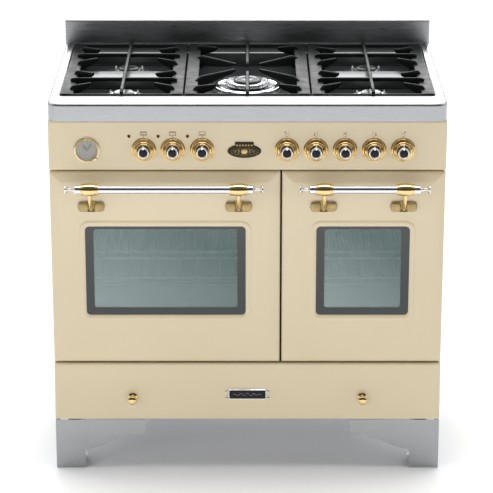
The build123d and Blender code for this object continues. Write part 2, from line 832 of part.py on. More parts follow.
runner_width = 12.0
tie_depth = 12.0
runner_height = 16.0
runner_z = drawer_bottom + 50
with BuildPart() as drawer_runners:
    for side in (-1, 1):
        with BuildSketch(facing(back_face - 30)):
            with Locations((side * (tray_half + body_gap + runner_width / 2), runner_z)):
                Rectangle(runner_width, runner_height)
        extrude(amount=back_face - 30 - frame_front - 2 * sheet)
        with BuildSketch(facing(frame_front + cavity_depth)):
            with Locations((side * (tray_half + 22), runner_z)):
                Rectangle(22, 3)
        extrude(amount=tie_depth)
        with BuildSketch(facing(frame_front + 60)):
            with Locations((side * (tray_half + 22), runner_z)):
                Rectangle(22, 3)
        extrude(amount=tie_depth)
save(drawer_runners.part, "drawer_runners")

drawer_knob_z = drawer_top - drawer_knob_drop
drawer_knob_profile = [(0, 11), (2.5, 11), (4, 6), (13, 5), (17, 9), (22, 11), (27, 9.5), (30, 5)]
save(Compound(children=[turned(drawer_knob_profile, (x, face, drawer_knob_z), (0, -1, 0))
                        for x in (-drawer_knob_x, drawer_knob_x)]), "drawer_knobs")

with BuildPart() as name_plate:
    with BuildSketch(facing(face)):
        with Locations((0, drawer_top - name_plate_drop)):
            Rectangle(name_plate_width - 12, name_plate_height)
        with Locations((-name_plate_width / 2 + 8, drawer_top - name_plate_drop),
                       (name_plate_width / 2 - 8, drawer_top - name_plate_drop)):
            Ellipse(8, name_plate_height / 2 - 4)
    extrude(amount=name_plate_depth)
save(name_plate.part, "name_plate")

# ======================= control panel =======================

stem_hole = spindle_radius + 2.0
clock_case_radius = clock_radius - 5.0
with BuildPart() as control_panel:
    for inset, mode in ((0, Mode.ADD), (sheet, Mode.SUBTRACT)):
        with BuildSketch(facing(face + panel_return)):
            with Locations((0, (panel_top + panel_bottom) / 2)):
                Rectangle(width - 2 * inset, control_panel_height - 2 * inset)
        extrude(amount=panel_return - inset, mode=mode)
    fillet(control_panel.faces().sort_by(Axis.Y)[0].outer_wire().edges(), radius=1.8)
    with BuildSketch(facing(face + panel_return)):
        with Locations(*[(x, knob_z) for x in oven_knob_x + burner_knob_x]):
            Circle(stem_hole)
        with Locations((clock_x, knob_z)):
            Circle(clock_case_radius + body_gap)
        with Locations(*[(x, panel_top - pilot_drop) for x in pilot_x]):
            Circle(pilot_radius + body_gap)
    extrude(amount=panel_return, mode=Mode.SUBTRACT)
save(control_panel.part, "control_panel")

with BuildPart() as knob_bezels:
    with BuildSketch(facing(face)):
        with Locations(*[(x, knob_z) for x in oven_knob_x + burner_knob_x]):
            Circle(bezel_radius)
            Circle(stem_hole, mode=Mode.SUBTRACT)
    extrude(amount=bezel_thickness, taper=30)
save(knob_bezels.part, "knob_bezels")

knob_face = face - bezel_thickness
valve_front = face + 14.0
valve_depth = 48.0
plug_radius = 8.0
stem_end = valve_front + 26.0
knob_profile = [(0, 20), (3, 22), (6, 20), (8, 16.5), (12, 15.5), (20, 15), (24, 14.5),
                (knob_length, 11)]


def knob(x, gap):
    """A turned knob on its stem; gap is its clearance in front of the bezel."""
    outer = [(gap + step, radius) for step, radius in knob_profile]
    stem = [(-(stem_end - knob_face), spindle_radius), (gap, spindle_radius)]
    return turned(stem + outer, (x, knob_face, knob_z), (0, -1, 0))


oven_names = ("oven_selector_knob", "main_thermostat_knob", "side_thermostat_knob")
burner_names = ("burner_knob_1", "burner_knob_2", "burner_knob_3", "burner_knob_4", "burner_knob_5")
for name, x in zip(oven_names, oven_knob_x):
    save(knob(x, 0.6), name)
for name, x in zip(burner_names, burner_knob_x):
    save(knob(x, 0.6 + push_travel), name)

with BuildPart() as oven_switches:
    with BuildSketch(facing(valve_front + valve_depth)):
        with Locations(*[(x, knob_z) for x in oven_knob_x]):
            RectangleRounded(42, 42, 4)
    extrude(amount=valve_depth)
    with BuildSketch(facing(stem_end + 1)):
        with Locations(*[(x, knob_z) for x in oven_knob_x]):
            Circle(spindle_radius + running_clearance)
    extrude(amount=stem_end + 1 - valve_front, mode=Mode.SUBTRACT)

# ---- gas taps: each body holds a turning plug that the knob's stem slides in ----
plug_end = stem_end + push_travel + 3
rail_radius = 8.0
rail_y = valve_front + valve_depth + 14
with BuildPart() as gas_valves:
    with BuildSketch(facing(rail_y)):
        with Locations(*[(x, knob_z) for x in burner_knob_x]):
            RectangleRounded(30, 34, 4)
    extrude(amount=rail_y - valve_front)
    with BuildSketch(facing(plug_end + 1)):
        with Locations(*[(x, knob_z) for x in burner_knob_x]):
            Circle(plug_radius + running_clearance)
    extrude(amount=plug_end + 1 - valve_front, mode=Mode.SUBTRACT)
    with BuildSketch(Plane.YZ.offset(burner_knob_x[0] - 30)):
        with Locations((rail_y, knob_z)):
            Circle(rail_radius + running_clearance)
    extrude(amount=burner_knob_x[-1] - burner_knob_x[0] + 60, mode=Mode.SUBTRACT)
save(Compound(children=[oven_switches.part, gas_valves.part]), "tap_and_switch_bodies")

for number, x in enumerate(burner_knob_x, start=1):
    with BuildPart() as tap_plug:
        with BuildSketch(facing(plug_end)):
            with Locations((x, knob_z)):
                Circle(plug_radius)
        extrude(amount=plug_end - valve_front)
        with BuildSketch(facing(stem_end + push_travel + 1)):
            with Locations((x, knob_z)):
                Circle(spindle_radius + running_clearance)
        extrude(amount=stem_end + push_travel + 1 - valve_front, mode=Mode.SUBTRACT)
    save(tap_plug.part, f"tap_plug_{number}")

# ---- gas pipes: the rail with its inlet, and one supply pipe to each burner ----
pipe_radius = 4.0
pipe_bend = 12.0
inlet_bend = 24.0
inlet_end = worktop_back - 4
with BuildPart() as rail:
    add(rod([(burner_knob_x[0] - 24, rail_y, knob_z), (inlet_x, rail_y, knob_z),
             (inlet_x, inlet_end, inlet_z)], rail_radius, bend=inlet_bend))
    add(turned([(0, inlet_radius), (inlet_length, inlet_radius)],
               (inlet_x, inlet_end - inlet_length, inlet_z), (0, 1, 0)))
pipes = [rail.part]
burner_order = (1, 0, 2, 4, 3)
for place, (x, index) in enumerate(zip(burner_knob_x, burner_order)):
    bx, by, kind = burners[index]
    level = knob_z - 34 - place * 10
    y = rail_y - 22
    below = tray_floor - cup_drop
    pipes.append(rod([(x, y, knob_z - 17), (x, y, level), (x, by, level), (bx, by, level),
                      (bx, by, below)] if abs(bx - x) > 2 * pipe_bend else
                     [(x, y, knob_z - 17), (x, y, level), (x, by, level), (x, by, below)],
                     pipe_radius, bend=pipe_bend))
save(Compound(children=pipes), "gas_pipes")

# ---- clock ----
case_depth = 26.0
case_floor = 1.2
through = 30.0
dial_y = face - 1.0
dial_radius = clock_radius - 6
shaft_rear = face + 12
hand_thickness = 0.6
crystal_thickness = 1.2
clock_knob_x, clock_knob_z = clock_x + clock_knob_offset, knob_z - clock_knob_offset
knob_pin = 1.5
minute_shaft = 1.0
hour_shaft = 2.0
with BuildPart() as clock_case:
    add(turned([(-case_depth, clock_case_radius), (0, clock_case_radius), (0, clock_radius),
                (3, clock_radius), (7, clock_radius - 4), (7, dial_radius)],
               (clock_x, face, knob_z), (0, -1, 0)))
    with BuildSketch(facing(dial_y + case_floor)):
        with Locations((clock_x, knob_z)):
            Circle(dial_radius)
    extrude(amount=through, mode=Mode.SUBTRACT)
    with BuildSketch(facing(shaft_rear + 4)):
        with Locations((clock_x, knob_z)):
            Circle(hour_shaft + 0.6)
    extrude(amount=through, mode=Mode.SUBTRACT)
    with BuildSketch(facing(face - 1.0)):
        with Locations((clock_knob_x, clock_knob_z)):
            Circle(knob_pin + running_clearance)
    extrude(amount=10, mode=Mode.SUBTRACT)
save(clock_case.part, "clock_case")

with BuildPart() as clock_dial:
    with BuildSketch(facing(dial_y + case_floor)):
        with Locations((clock_x, knob_z)):
            Circle(dial_radius - seat_gap)
            Circle(hour_shaft + 0.1, mode=Mode.SUBTRACT)
    extrude(amount=case_floor)
save(clock_dial.part, "clock_dial")

with BuildPart() as clock_glass:
    with BuildSketch(facing(dial_y - 4.6)):
        with Locations((clock_x, knob_z)):
            Circle(dial_radius - seat_gap)
    extrude(amount=crystal_thickness)
save(clock_glass.part, "clock_glass")


def clock_hand(angle, length, breadth, y, shaft, bore):
    """A hand pointing angle degrees clockwise from twelve, on its own shaft."""
    turn = radians(90 - angle)
    along = (cos(turn), sin(turn))
    with BuildPart() as hand:
        with BuildSketch(facing(y)):
            with Locations(Location((clock_x + along[0] * length / 2,
                                     knob_z + along[1] * length / 2), 90 - angle)):
                Rectangle(length, breadth)
            with Locations((clock_x, knob_z)):
                Circle(shaft + 1)
        extrude(amount=hand_thickness)
        with BuildSketch(facing(shaft_rear)):
            with Locations((clock_x, knob_z)):
                Circle(shaft)
        extrude(amount=shaft_rear - y)
        if bore > 0:
            with BuildSketch(facing(shaft_rear + 1)):
                with Locations((clock_x, knob_z)):
                    Circle(bore)
            extrude(amount=through, mode=Mode.SUBTRACT)
    return hand.part


save(clock_hand(-40, 13, 1.6, dial_y - 1.0, hour_shaft, minute_shaft + running_clearance), "hour_hand")
save(clock_hand(35, 18, 1.2, dial_y - 2.4, minute_shaft, 0), "minute_hand")

save(turned([(1.5, knob_pin), (7.4, knob_pin), (7.4, 3.2), (8.2, 4.2), (12, 4.2), (13, 3)],
            (clock_knob_x, face, clock_knob_z), (0, -1, 0)), "clock_knob")

save(Compound(children=[turned([(-12, pilot_radius), (0, pilot_radius), (0, pilot_radius + 1.2),
                                (1, pilot_radius + 1.2), (1, pilot_radius), (2.5, pilot_radius - 0.6),
                                (3.2, 1.2)], (x, face, panel_top - pilot_drop), (0, -1, 0))
                        for x in pilot_x]), "pilot_lights")

with BuildPart() as panel_badge:
    with BuildSketch(facing(face)):
        with Locations((badge_x, knob_z)):
            Ellipse(badge_width / 2, badge_height / 2)
    extrude(amount=badge_depth)
save(panel_badge.part, "panel_badge")

save(turned([(-14, 8), (sheet, 8), (sheet, 12), (8, 12), (8, 9), (16, 7.5)],
            (gland_x, back_face - sheet, gland_z), (0, 1, 0)), "cable_gland")
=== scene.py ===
"""Freestanding dual-oven gas range: the finished surfaces, materials and studio for the CAD frame.

Metres throughout. +X right, +Y back, +Z up; the doors and the control panel face -Y.
"""
from math import atan2, cos, pi, radians, sin

import bmesh
import bpy
import numpy as np
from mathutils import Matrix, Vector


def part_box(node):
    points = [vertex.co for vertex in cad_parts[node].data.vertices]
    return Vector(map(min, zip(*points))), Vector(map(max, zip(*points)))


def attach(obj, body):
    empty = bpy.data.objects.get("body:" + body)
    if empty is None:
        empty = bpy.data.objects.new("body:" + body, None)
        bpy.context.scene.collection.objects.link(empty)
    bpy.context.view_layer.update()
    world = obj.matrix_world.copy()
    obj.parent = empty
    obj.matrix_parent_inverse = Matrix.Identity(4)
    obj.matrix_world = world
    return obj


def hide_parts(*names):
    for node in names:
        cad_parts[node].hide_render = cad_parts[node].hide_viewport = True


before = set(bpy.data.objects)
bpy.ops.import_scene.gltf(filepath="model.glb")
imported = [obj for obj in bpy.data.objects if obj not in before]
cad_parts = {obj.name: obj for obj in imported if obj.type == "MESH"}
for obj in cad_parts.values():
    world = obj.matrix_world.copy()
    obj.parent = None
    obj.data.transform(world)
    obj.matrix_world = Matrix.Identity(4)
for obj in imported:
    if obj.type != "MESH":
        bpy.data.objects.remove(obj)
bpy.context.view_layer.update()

bl_info = {
    "name": "Gas Range Finisher",
    "version": (1, 0, 0),
    "blender": (4, 5, 0),
    "location": "View3D > Sidebar > Range",
    "description": "Builds the visible surfaces of a freestanding gas range on its CAD frame",
    "category": "Object",
}

AROUND = 64
CORNER = 8
FRONT = (0, -1, 0)
UP = (0, 0, 1)
OVEN_KNOBS = ("oven_selector_knob", "main_thermostat_knob", "side_thermostat_knob")
BURNER_KNOBS = tuple(f"burner_knob_{number}" for number in range(1, 6))


# ---------------------------------------------------------------- surfaces as arrays

def grid(points, wrap_u=False, wrap_v=True, cap_start=True, cap_end=True, slot=0):
    """Quads over a grid of points[u, v]: each point joins its neighbours in u and v.

    wrap_u and wrap_v close the grid on itself. Where u stays open, each end ring may be
    closed by one flat face. Returns (vertices, quads, end faces, material slot).
    """
    nu, nv = points.shape[:2]
    u = np.arange(nu if wrap_u else nu - 1)
    v = np.arange(nv if wrap_v else nv - 1)
    uu, vv = np.meshgrid(u, v, indexing="ij")
    next_u, next_v = (uu + 1) % nu, (vv + 1) % nv
    quads = np.stack([uu * nv + vv, uu * nv + next_v, next_u * nv + next_v, next_u * nv + vv], -1)
    ends = []
    if not wrap_u and wrap_v:
        if cap_start:
            ends.append(np.arange(nv)[::-1])
        if cap_end:
            ends.append(np.arange(nv) + (nu - 1) * nv)
    return points.reshape(-1, 3), quads.reshape(-1, 4), ends, slot


def frame_of(direction):
    """Two unit vectors square to a direction and to each other."""
    along = np.asarray(direction, float)
    along = along / np.linalg.norm(along)
    helper = np.array((0.0, 0.0, 1.0)) if abs(along[2]) < 0.9 else np.array((1.0, 0.0, 0.0))
    side = np.cross(helper, along)
    side = side / np.linalg.norm(side)
    return side, np.cross(along, side)


def turned(profile, origin, axis, around=AROUND, slot=0, ring=False):
    """A lathe shape: point = origin + axis * t + r * (cos a * side + sin a * up).

    t and r run along the profile, and a runs once round the axis. A ring joins its profile's ends.
    """
    along = np.asarray(axis, float)
    side, up = frame_of(along)
    profile = np.asarray(profile, float)
    angle = np.linspace(0, 2 * pi, around, endpoint=False)
    circle = np.cos(angle)[:, None] * side + np.sin(angle)[:, None] * up
    centre = np.asarray(origin, float) + profile[:, 0, None] * along
    points = centre[:, None, :] + profile[:, 1, None, None] * circle[None]
    return grid(points, wrap_u=ring, slot=slot)


def rounded(points, radius, steps=4):
    """A profile with its inner corners replaced by arcs (quadratic curves that touch both legs)."""
    points = np.asarray(points, float)
    out = [points[0]]
    t = np.linspace(0, 1, steps + 1)[:, None]
    for before, corner, after in zip(points[:-2], points[1:-1], points[2:]):
        to_before, to_after = before - corner, after - corner
        reach = min(radius, 0.45 * np.linalg.norm(to_before), 0.45 * np.linalg.norm(to_after))
        start = corner + to_before / np.linalg.norm(to_before) * reach
        end = corner + to_after / np.linalg.norm(to_after) * reach
        out.extend((1 - t) ** 2 * start + 2 * t * (1 - t) * corner + t ** 2 * end)
    out.append(points[-1])
    return np.array(out)


def outline(width, height, radius, corner=CORNER):
    """A rounded rectangle about (0, 0), anticlockwise: four quarter circles joined by straight sides."""
    radius = max(min(radius, width / 2 - 1e-6, height / 2 - 1e-6), 1e-6)
    points = []
    for quarter, (sx, sz) in enumerate(((1, 1), (-1, 1), (-1, -1), (1, -1))):
        angle = np.linspace(0, pi / 2, corner + 1) + quarter * pi / 2
        centre = np.array((sx * (width / 2 - radius), sz * (height / 2 - radius)))
        points.append(centre + radius * np.stack([np.cos(angle), np.sin(angle)], -1))
    return np.concatenate(points)


def front_rings(centre_x, centre_z, stages):
    """Rings that face the front. Each stage is (width, height, corner radius, depth y)."""
    rings = []
    for width, height, radius, y in stages:
        flat = outline(width, height, radius)
        rings.append(np.stack([centre_x + flat[:, 0], np.full(len(flat), y), centre_z + flat[:, 1]], -1))
    return np.array(rings)


def top_rings(centre_x, centre_y, stages):
    """Rings that face up. Each stage is (width, depth, corner radius, height z)."""
    rings = []
    for width, depth, radius, z in stages:
        flat = outline(width, depth, radius)
        rings.append(np.stack([centre_x + flat[:, 0], centre_y + flat[:, 1], np.full(len(flat), z)], -1))
    return np.array(rings)


def swept(path, section, scale=None, up=(0, 0, 1), slot=0):
    """A section carried along a path: point = path + a * side + b * lift for each (a, b) of the section.

    side and lift stay square to the path; scale gives the section's two sizes at each path point.
    """
    path = np.asarray(path, float)
    tangent = np.gradient(path, axis=0)
    tangent /= np.linalg.norm(tangent, axis=1)[:, None]
    side = np.cross(tangent, np.asarray(up, float))
    side /= np.linalg.norm(side, axis=1)[:, None]
    lift = np.cross(side, tangent)
    scale = np.ones((len(path), 2)) if scale is None else np.asarray(scale, float)
    section = np.asarray(section, float)
    points = (path[:, None] + section[None, :, :1] * scale[:, None, :1] * side[:, None]
              + section[None, :, 1:] * scale[:, None, 1:] * lift[:, None])
    return grid(points, slot=slot)


def curve(points, steps=12):
    """A smooth line through points (Catmull-Rom): each span is a cubic set by its four nearest points."""
    points = np.asarray(points, float)
    padded = np.vstack([2 * points[0] - points[1], points, 2 * points[-1] - points[-2]])
    t = np.linspace(0, 1, steps, endpoint=False)[:, None]
    out = []
    for a, b, c, d in zip(padded[:-3], padded[1:-2], padded[2:-1], padded[3:]):
        out.append(0.5 * (2 * b + (c - a) * t + (2 * a - 5 * b + 4 * c - d) * t ** 2
                          + (3 * b - a - 3 * c + d) * t ** 3))
    return np.vstack(out + [points[-1:]])


def block(low, high, radius, slot=0):
    """A soft-edged box: rounded outlines stacked from low z to high z, pulled in at both ends."""
    low, high = np.asarray(low, float), np.asarray(high, float)
    size = high - low
    radius = min(radius, size.min() * 0.45)
    angle = np.linspace(0, pi / 2, 4)
    pull = radius * (1 - np.sin(angle))
    rise = radius * (1 - np.cos(angle))
    stages = [(size[0] - 2 * p, size[1] - 2 * p, radius, low[2] + r) for p, r in zip(pull, rise)]
    stages += [(size[0] - 2 * p, size[1] - 2 * p, radius, high[2] - r)
               for p, r in zip(pull[::-1], rise[::-1])]
    return grid(top_rings((low[0] + high[0]) / 2, (low[1] + high[1]) / 2, stages), slot=slot)


def oval(x, face, z, wide, tall, stages, around, power=2.0, slot=0):
    """A shape that faces the front: |u / wide| ** power + |v / tall| ** power = 1, shrunk in stages.

    Each stage is (share of the outline, height above the face).
    """
    angle = np.linspace(0, 2 * pi, around, endpoint=False)
    across, up = (np.sign(turn) * np.abs(turn) ** (2 / power) for turn in (np.cos(angle), np.sin(angle)))
    rings = [np.stack([x + share * wide * across, np.full(around, face - rise), z + share * tall * up], -1)
             for share, rise in stages]
    return grid(np.array(rings), slot=slot)


def tube(path, radius):
    """A round wire along a path, with one radius or a radius for each point."""
    ring = np.linspace(0, 2 * pi, 8, endpoint=False)
    sizes = np.repeat(np.broadcast_to(radius, len(path))[:, None], 2, axis=1)
    return swept(path, np.stack([np.cos(ring), np.sin(ring)], -1), sizes, up=FRONT)


def make(name, shapes, materials, body, replaces=(), crease=35.0):
    """Joins shapes into one object on a body, with smooth shading that breaks at sharp edges."""
    vertices, faces, indices, offset = [], [], [], 0
    for points, quads, ends, index in shapes:
        vertices.append(points)
        faces.extend((quads + offset).tolist())
        faces.extend((end + offset).tolist() for end in ends)
        indices.extend([index] * (len(quads) + len(ends)))
        offset += len(points)
    mesh = bpy.data.meshes.new(name)
    mesh.from_pydata(np.vstack(vertices).tolist(), [], faces)
    for material in materials:
        mesh.materials.append(material)
    mesh.polygons.foreach_set("material_index", np.array(indices, dtype=np.int32))
    work = bmesh.new()
    work.from_mesh(mesh)
    bmesh.ops.remove_doubles(work, verts=work.verts, dist=1e-7)
    bmesh.ops.recalc_face_normals(work, faces=work.faces)
    work.to_mesh(mesh)
    work.free()
    mesh.polygons.foreach_set("use_smooth", np.ones(len(mesh.polygons), dtype=bool))
    mesh.set_sharp_from_angle(angle=radians(crease))
    piece = bpy.data.objects.new(name, mesh)
    bpy.context.scene.collection.objects.link(piece)
    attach(piece, body)
    if replaces:
        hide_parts(*replaces)
    return piece


# ---------------------------------------------------------------- materials

def material(name, colour, metallic=0.0, roughness=0.5, **more):
    """A Principled material; more sets other sockets by name, with spaces written as underscores."""
    made = bpy.data.materials.new(name)
    made.use_nodes = True
    shader = made.node_tree.nodes["Principled BSDF"]
    shader.inputs["Base Color"].default_value = (*colour, 1)
    shader.inputs["Metallic"].default_value = metallic
    shader.inputs["Roughness"].default_value = roughness
    for socket, value in more.items():
        shader.inputs[socket.replace("_", " ")].default_value = value
    return made


def node(made, kind, inputs=(), **settings):
    """Adds a shader node. inputs gives each socket a value, or the output that feeds it."""
    added = made.node_tree.nodes.new(kind)
    for name, value in settings.items():
        setattr(added, name, value)
    for socket, value in dict(inputs).items():
        if isinstance(value, bpy.types.NodeSocket):
            made.node_tree.links.new(value, added.inputs[socket])
        else:
            added.inputs[socket].default_value = value
    return added


def feed(made, source, target):
    """Links an output to a socket of the material's shader."""
    made.node_tree.links.new(source, made.node_tree.nodes["Principled BSDF"].inputs[target])


def ramp(made, source, first, second):
    """A two-colour ramp. first and second are (position, colour)."""
    added = node(made, "ShaderNodeValToRGB", {"Fac": source})
    for element, (position, colour) in zip(added.color_ramp.elements, (first, second)):
        element.position = position
        element.color = (*colour, 1)
    return added.outputs["Color"]


def pattern(made, scale=(1, 1, 1), size=100.0, detail=3.0, kind="ShaderNodeTexNoise"):
    """Adds a noise or cell pattern on Object coordinates and returns its output socket."""
    noise = kind == "ShaderNodeTexNoise"
    coordinate = node(made, "ShaderNodeTexCoord")
    mapping = node(made, "ShaderNodeMapping", {"Scale": scale, "Vector": coordinate.outputs["Object"]})
    texture = node(made, kind, {"Scale": size, "Vector": mapping.outputs["Vector"]})
    if noise:
        texture.inputs["Detail"].default_value = detail
    return texture.outputs["Fac" if noise else "Distance"]


def spread(made, source, low, high, target):
    """Maps the middle of a pattern's range onto low to high of a shader input."""
    ranger = node(made, "ShaderNodeMapRange", {"Value": source, "From Min": 0.3, "From Max": 0.7,
                                               "To Min": low, "To Max": high})
    feed(made, ranger.outputs["Result"], target)


def tint(made, source, first, second):
    """Blends two base colours by a pattern."""
    feed(made, ramp(made, source, (0.35, first), (0.65, second)), "Base Color")


def relief(made, source, strength, distance=0.0002):
    """Raises the surface slightly by a pattern."""
    bump = node(made, "ShaderNodeBump", {"Height": source, "Strength": strength, "Distance": distance})
    feed(made, bump.outputs["Normal"], "Normal")


def cream_enamel(colour):
    """Gloss cream enamel with a slow change of tone and a faint orange-peel surface."""
    made = material("cream_enamel", colour, roughness=0.24, Coat_Weight=0.5, Coat_Roughness=0.08)
    soft = pattern(made, size=3.0, detail=2.0)
    tint(made, soft, tuple(c * 0.97 for c in colour), colour)
    relief(made, pattern(made, size=220.0, detail=1.0), 0.12, 0.00015)
    return made


def brushed_steel(name, colour, along, roughness=0.3):
    """Steel with fine scratches: noise squeezed across the brushing and stretched along it."""
    made = material(name, colour, metallic=1.0, roughness=roughness)
    scale = {"x": (1, 90, 90), "y": (90, 1, 90), "z": (90, 90, 1)}[along]
    grain = pattern(made, scale=scale, size=14.0, detail=4.0)
    spread(made, grain, roughness - 0.08, roughness + 0.1, "Roughness")
    relief(made, grain, 0.12, 0.0001)
    return made


def polished_metal(name, colour, roughness):
    """Polished metal whose roughness wanders a little."""
    made = material(name, colour, metallic=1.0, roughness=roughness)
    spread(made, pattern(made, size=60.0), roughness * 0.7, roughness * 1.5, "Roughness")
    return made


def black_enamel(name, colour, roughness):
    """Vitreous black enamel with fine pale specks."""
    made = material(name, colour, roughness=roughness, Coat_Weight=0.6, Coat_Roughness=0.05)
    specks = pattern(made, size=900.0, detail=0.0)
    tint(made, specks, colour, tuple(c * 1.6 + 0.006 for c in colour))
    relief(made, pattern(made, size=150.0, detail=1.0), 0.1, 0.0002)
    return made


def cast_iron(colour):
    """Dull cast iron with a fine grain."""
    made = material("cast_iron", colour, roughness=0.34, Specular_IOR_Level=0.12)
    grain = pattern(made, size=700.0, detail=4.0)
    relief(made, grain, 0.5, 0.0003)
    spread(made, pattern(made, size=40.0), 0.30, 0.46, "Roughness")
    return made


def galvanised(colour):
    """Zinc-coated sheet with a cell pattern for its spangle."""
    made = material("galvanised_steel", colour, metallic=1.0, roughness=0.42)
    spangle = pattern(made, size=70.0, kind="ShaderNodeTexVoronoi")
    tint(made, spangle, tuple(c * 0.85 for c in colour), colour)
    spread(made, spangle, 0.34, 0.55, "Roughness")
    return made


def window_glass(name, centre, clear_size, corner, outer_pane):
    """Oven glass with a printed black border: outside a rounded rectangle it is opaque.

    Glass behind the depth outer_pane is the plain inner pane. Painted reflection: darker to the upper right.
    """
    made = material(name, (0.045, 0.075, 0.075), roughness=0.04, Coat_Weight=0.3)
    outer_alpha, inner_alpha, slope = 0.42, 0.06, 0.6
    coordinate = node(made, "ShaderNodeTexCoord")
    place = node(made, "ShaderNodeSeparateXYZ", {"Vector": coordinate.outputs["Object"]}).outputs

    def work_out(operation, *values):
        return node(made, "ShaderNodeMath", enumerate(values), operation=operation).outputs[0]

    beyond = []
    for axis, middle, size in zip("XZ", centre, clear_size):
        away = work_out("ABSOLUTE", work_out("SUBTRACT", place[axis], middle))
        beyond.append(work_out("MAXIMUM", work_out("SUBTRACT", away, size / 2 - corner), 0.0))
    both = node(made, "ShaderNodeCombineXYZ", zip("XY", beyond))
    length = node(made, "ShaderNodeVectorMath", {0: both.outputs["Vector"]}, operation="LENGTH")
    border = work_out("GREATER_THAN", length.outputs["Value"], corner)
    cover = node(made, "ShaderNodeMapRange", {"Value": border, "To Min": outer_alpha, "To Max": 1.0})
    alpha = node(made, "ShaderNodeMapRange", {"Value": work_out("LESS_THAN", place["Y"], outer_pane),
                                              "To Min": inner_alpha, "To Max": cover.outputs["Result"]})
    feed(made, alpha.outputs["Result"], "Alpha")
    # Painted reflection: the glass's base colour is lighter to the lower left and darker to the upper right.
    start = centre[0] * slope + centre[1]
    reach = clear_size[0] * slope / 2 + clear_size[1] / 2
    fade = node(made, "ShaderNodeMapRange", {
        "Value": work_out("MULTIPLY_ADD", place["X"], slope, place["Z"]),
        "From Min": start - reach, "From Max": start + reach * 0.6})
    painted_reflection = ramp(made, fade.outputs["Result"], (0.0, (0.42, 0.52, 0.52)), (1.0, (0.13, 0.21, 0.20)))
    factor, first, second, result = 0, 6, 7, 2
    mixed = node(made, "ShaderNodeMix", {}, data_type="RGBA")
    made.node_tree.links.new(border, mixed.inputs[factor])
    made.node_tree.links.new(painted_reflection, mixed.inputs[first])
    mixed.inputs[second].default_value = (0.006, 0.012, 0.011, 1)
    feed(made, mixed.outputs[result], "Base Color")
    return made


class RangeFinishes(bpy.types.PropertyGroup):
    """Colours of the range's finishes."""
    enamel: bpy.props.FloatVectorProperty(name="Enamel", description="Colour of the doors and panels",
                                          subtype="COLOR", size=3, default=(0.62, 0.52, 0.345))
    brass: bpy.props.FloatVectorProperty(name="Brass", description="Colour of the knobs and brackets",
                                         subtype="COLOR", size=3, default=(0.80, 0.60, 0.28))
    steel: bpy.props.FloatVectorProperty(name="Steel", description="Colour of the worktop steel",
                                         subtype="COLOR", size=3, default=(0.48, 0.49, 0.50))
    iron: bpy.props.FloatVectorProperty(name="Iron", description="Colour of the cast grates",
                                        subtype="COLOR", size=3, default=(0.008, 0.009, 0.009))
    floor: bpy.props.FloatVectorProperty(name="Floor", description="Colour of the studio floor",
                                         subtype="COLOR", size=3, default=(0.96, 0.965, 0.975))


class RangeSizes(bpy.types.PropertyGroup):
    """Sizes of the range's finished details."""
    bevel_width: bpy.props.FloatProperty(name="Door bevel", description="Width of each door's sloped border",
                                         default=0.026, unit="LENGTH")
    bevel_depth: bpy.props.FloatProperty(name="Bevel depth", description="How far the border falls back",
                                         default=0.0055, unit="LENGTH")
    seam_ease: bpy.props.FloatProperty(name="Seam ease", default=0.0006, unit="LENGTH",
                                       description="Half of the extra gap under the control panel")
    pane_overlap: bpy.props.FloatProperty(name="Pane overlap", description="Glass hidden behind the skin",
                                          default=0.012, unit="LENGTH")
    glass_border: bpy.props.FloatProperty(name="Glass border", description="Width of the printed border",
                                          default=0.019, unit="LENGTH")
    fascia_edge: bpy.props.FloatProperty(name="Fascia edge", description="Rounding of the control panel",
                                         default=0.0042, unit="LENGTH")
    bar_width: bpy.props.FloatProperty(name="Grate bar", description="Width of a grate's ribs",
                                       default=0.008, unit="LENGTH")


finishes = {}


def finish(name):
    """A finished material by its short name."""
    return finishes[name]


def wear(node_name, made):
    """Gives a CAD piece that stays visible one finished material."""
    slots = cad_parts[node_name].data.materials
    slots.clear()
    slots.append(made)


def place_of(node_name):
    """Low corner, high corner and middle of a CAD node as arrays."""
    low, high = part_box(node_name)
    low, high = np.array(low), np.array(high)
    return low, high, (low + high) / 2


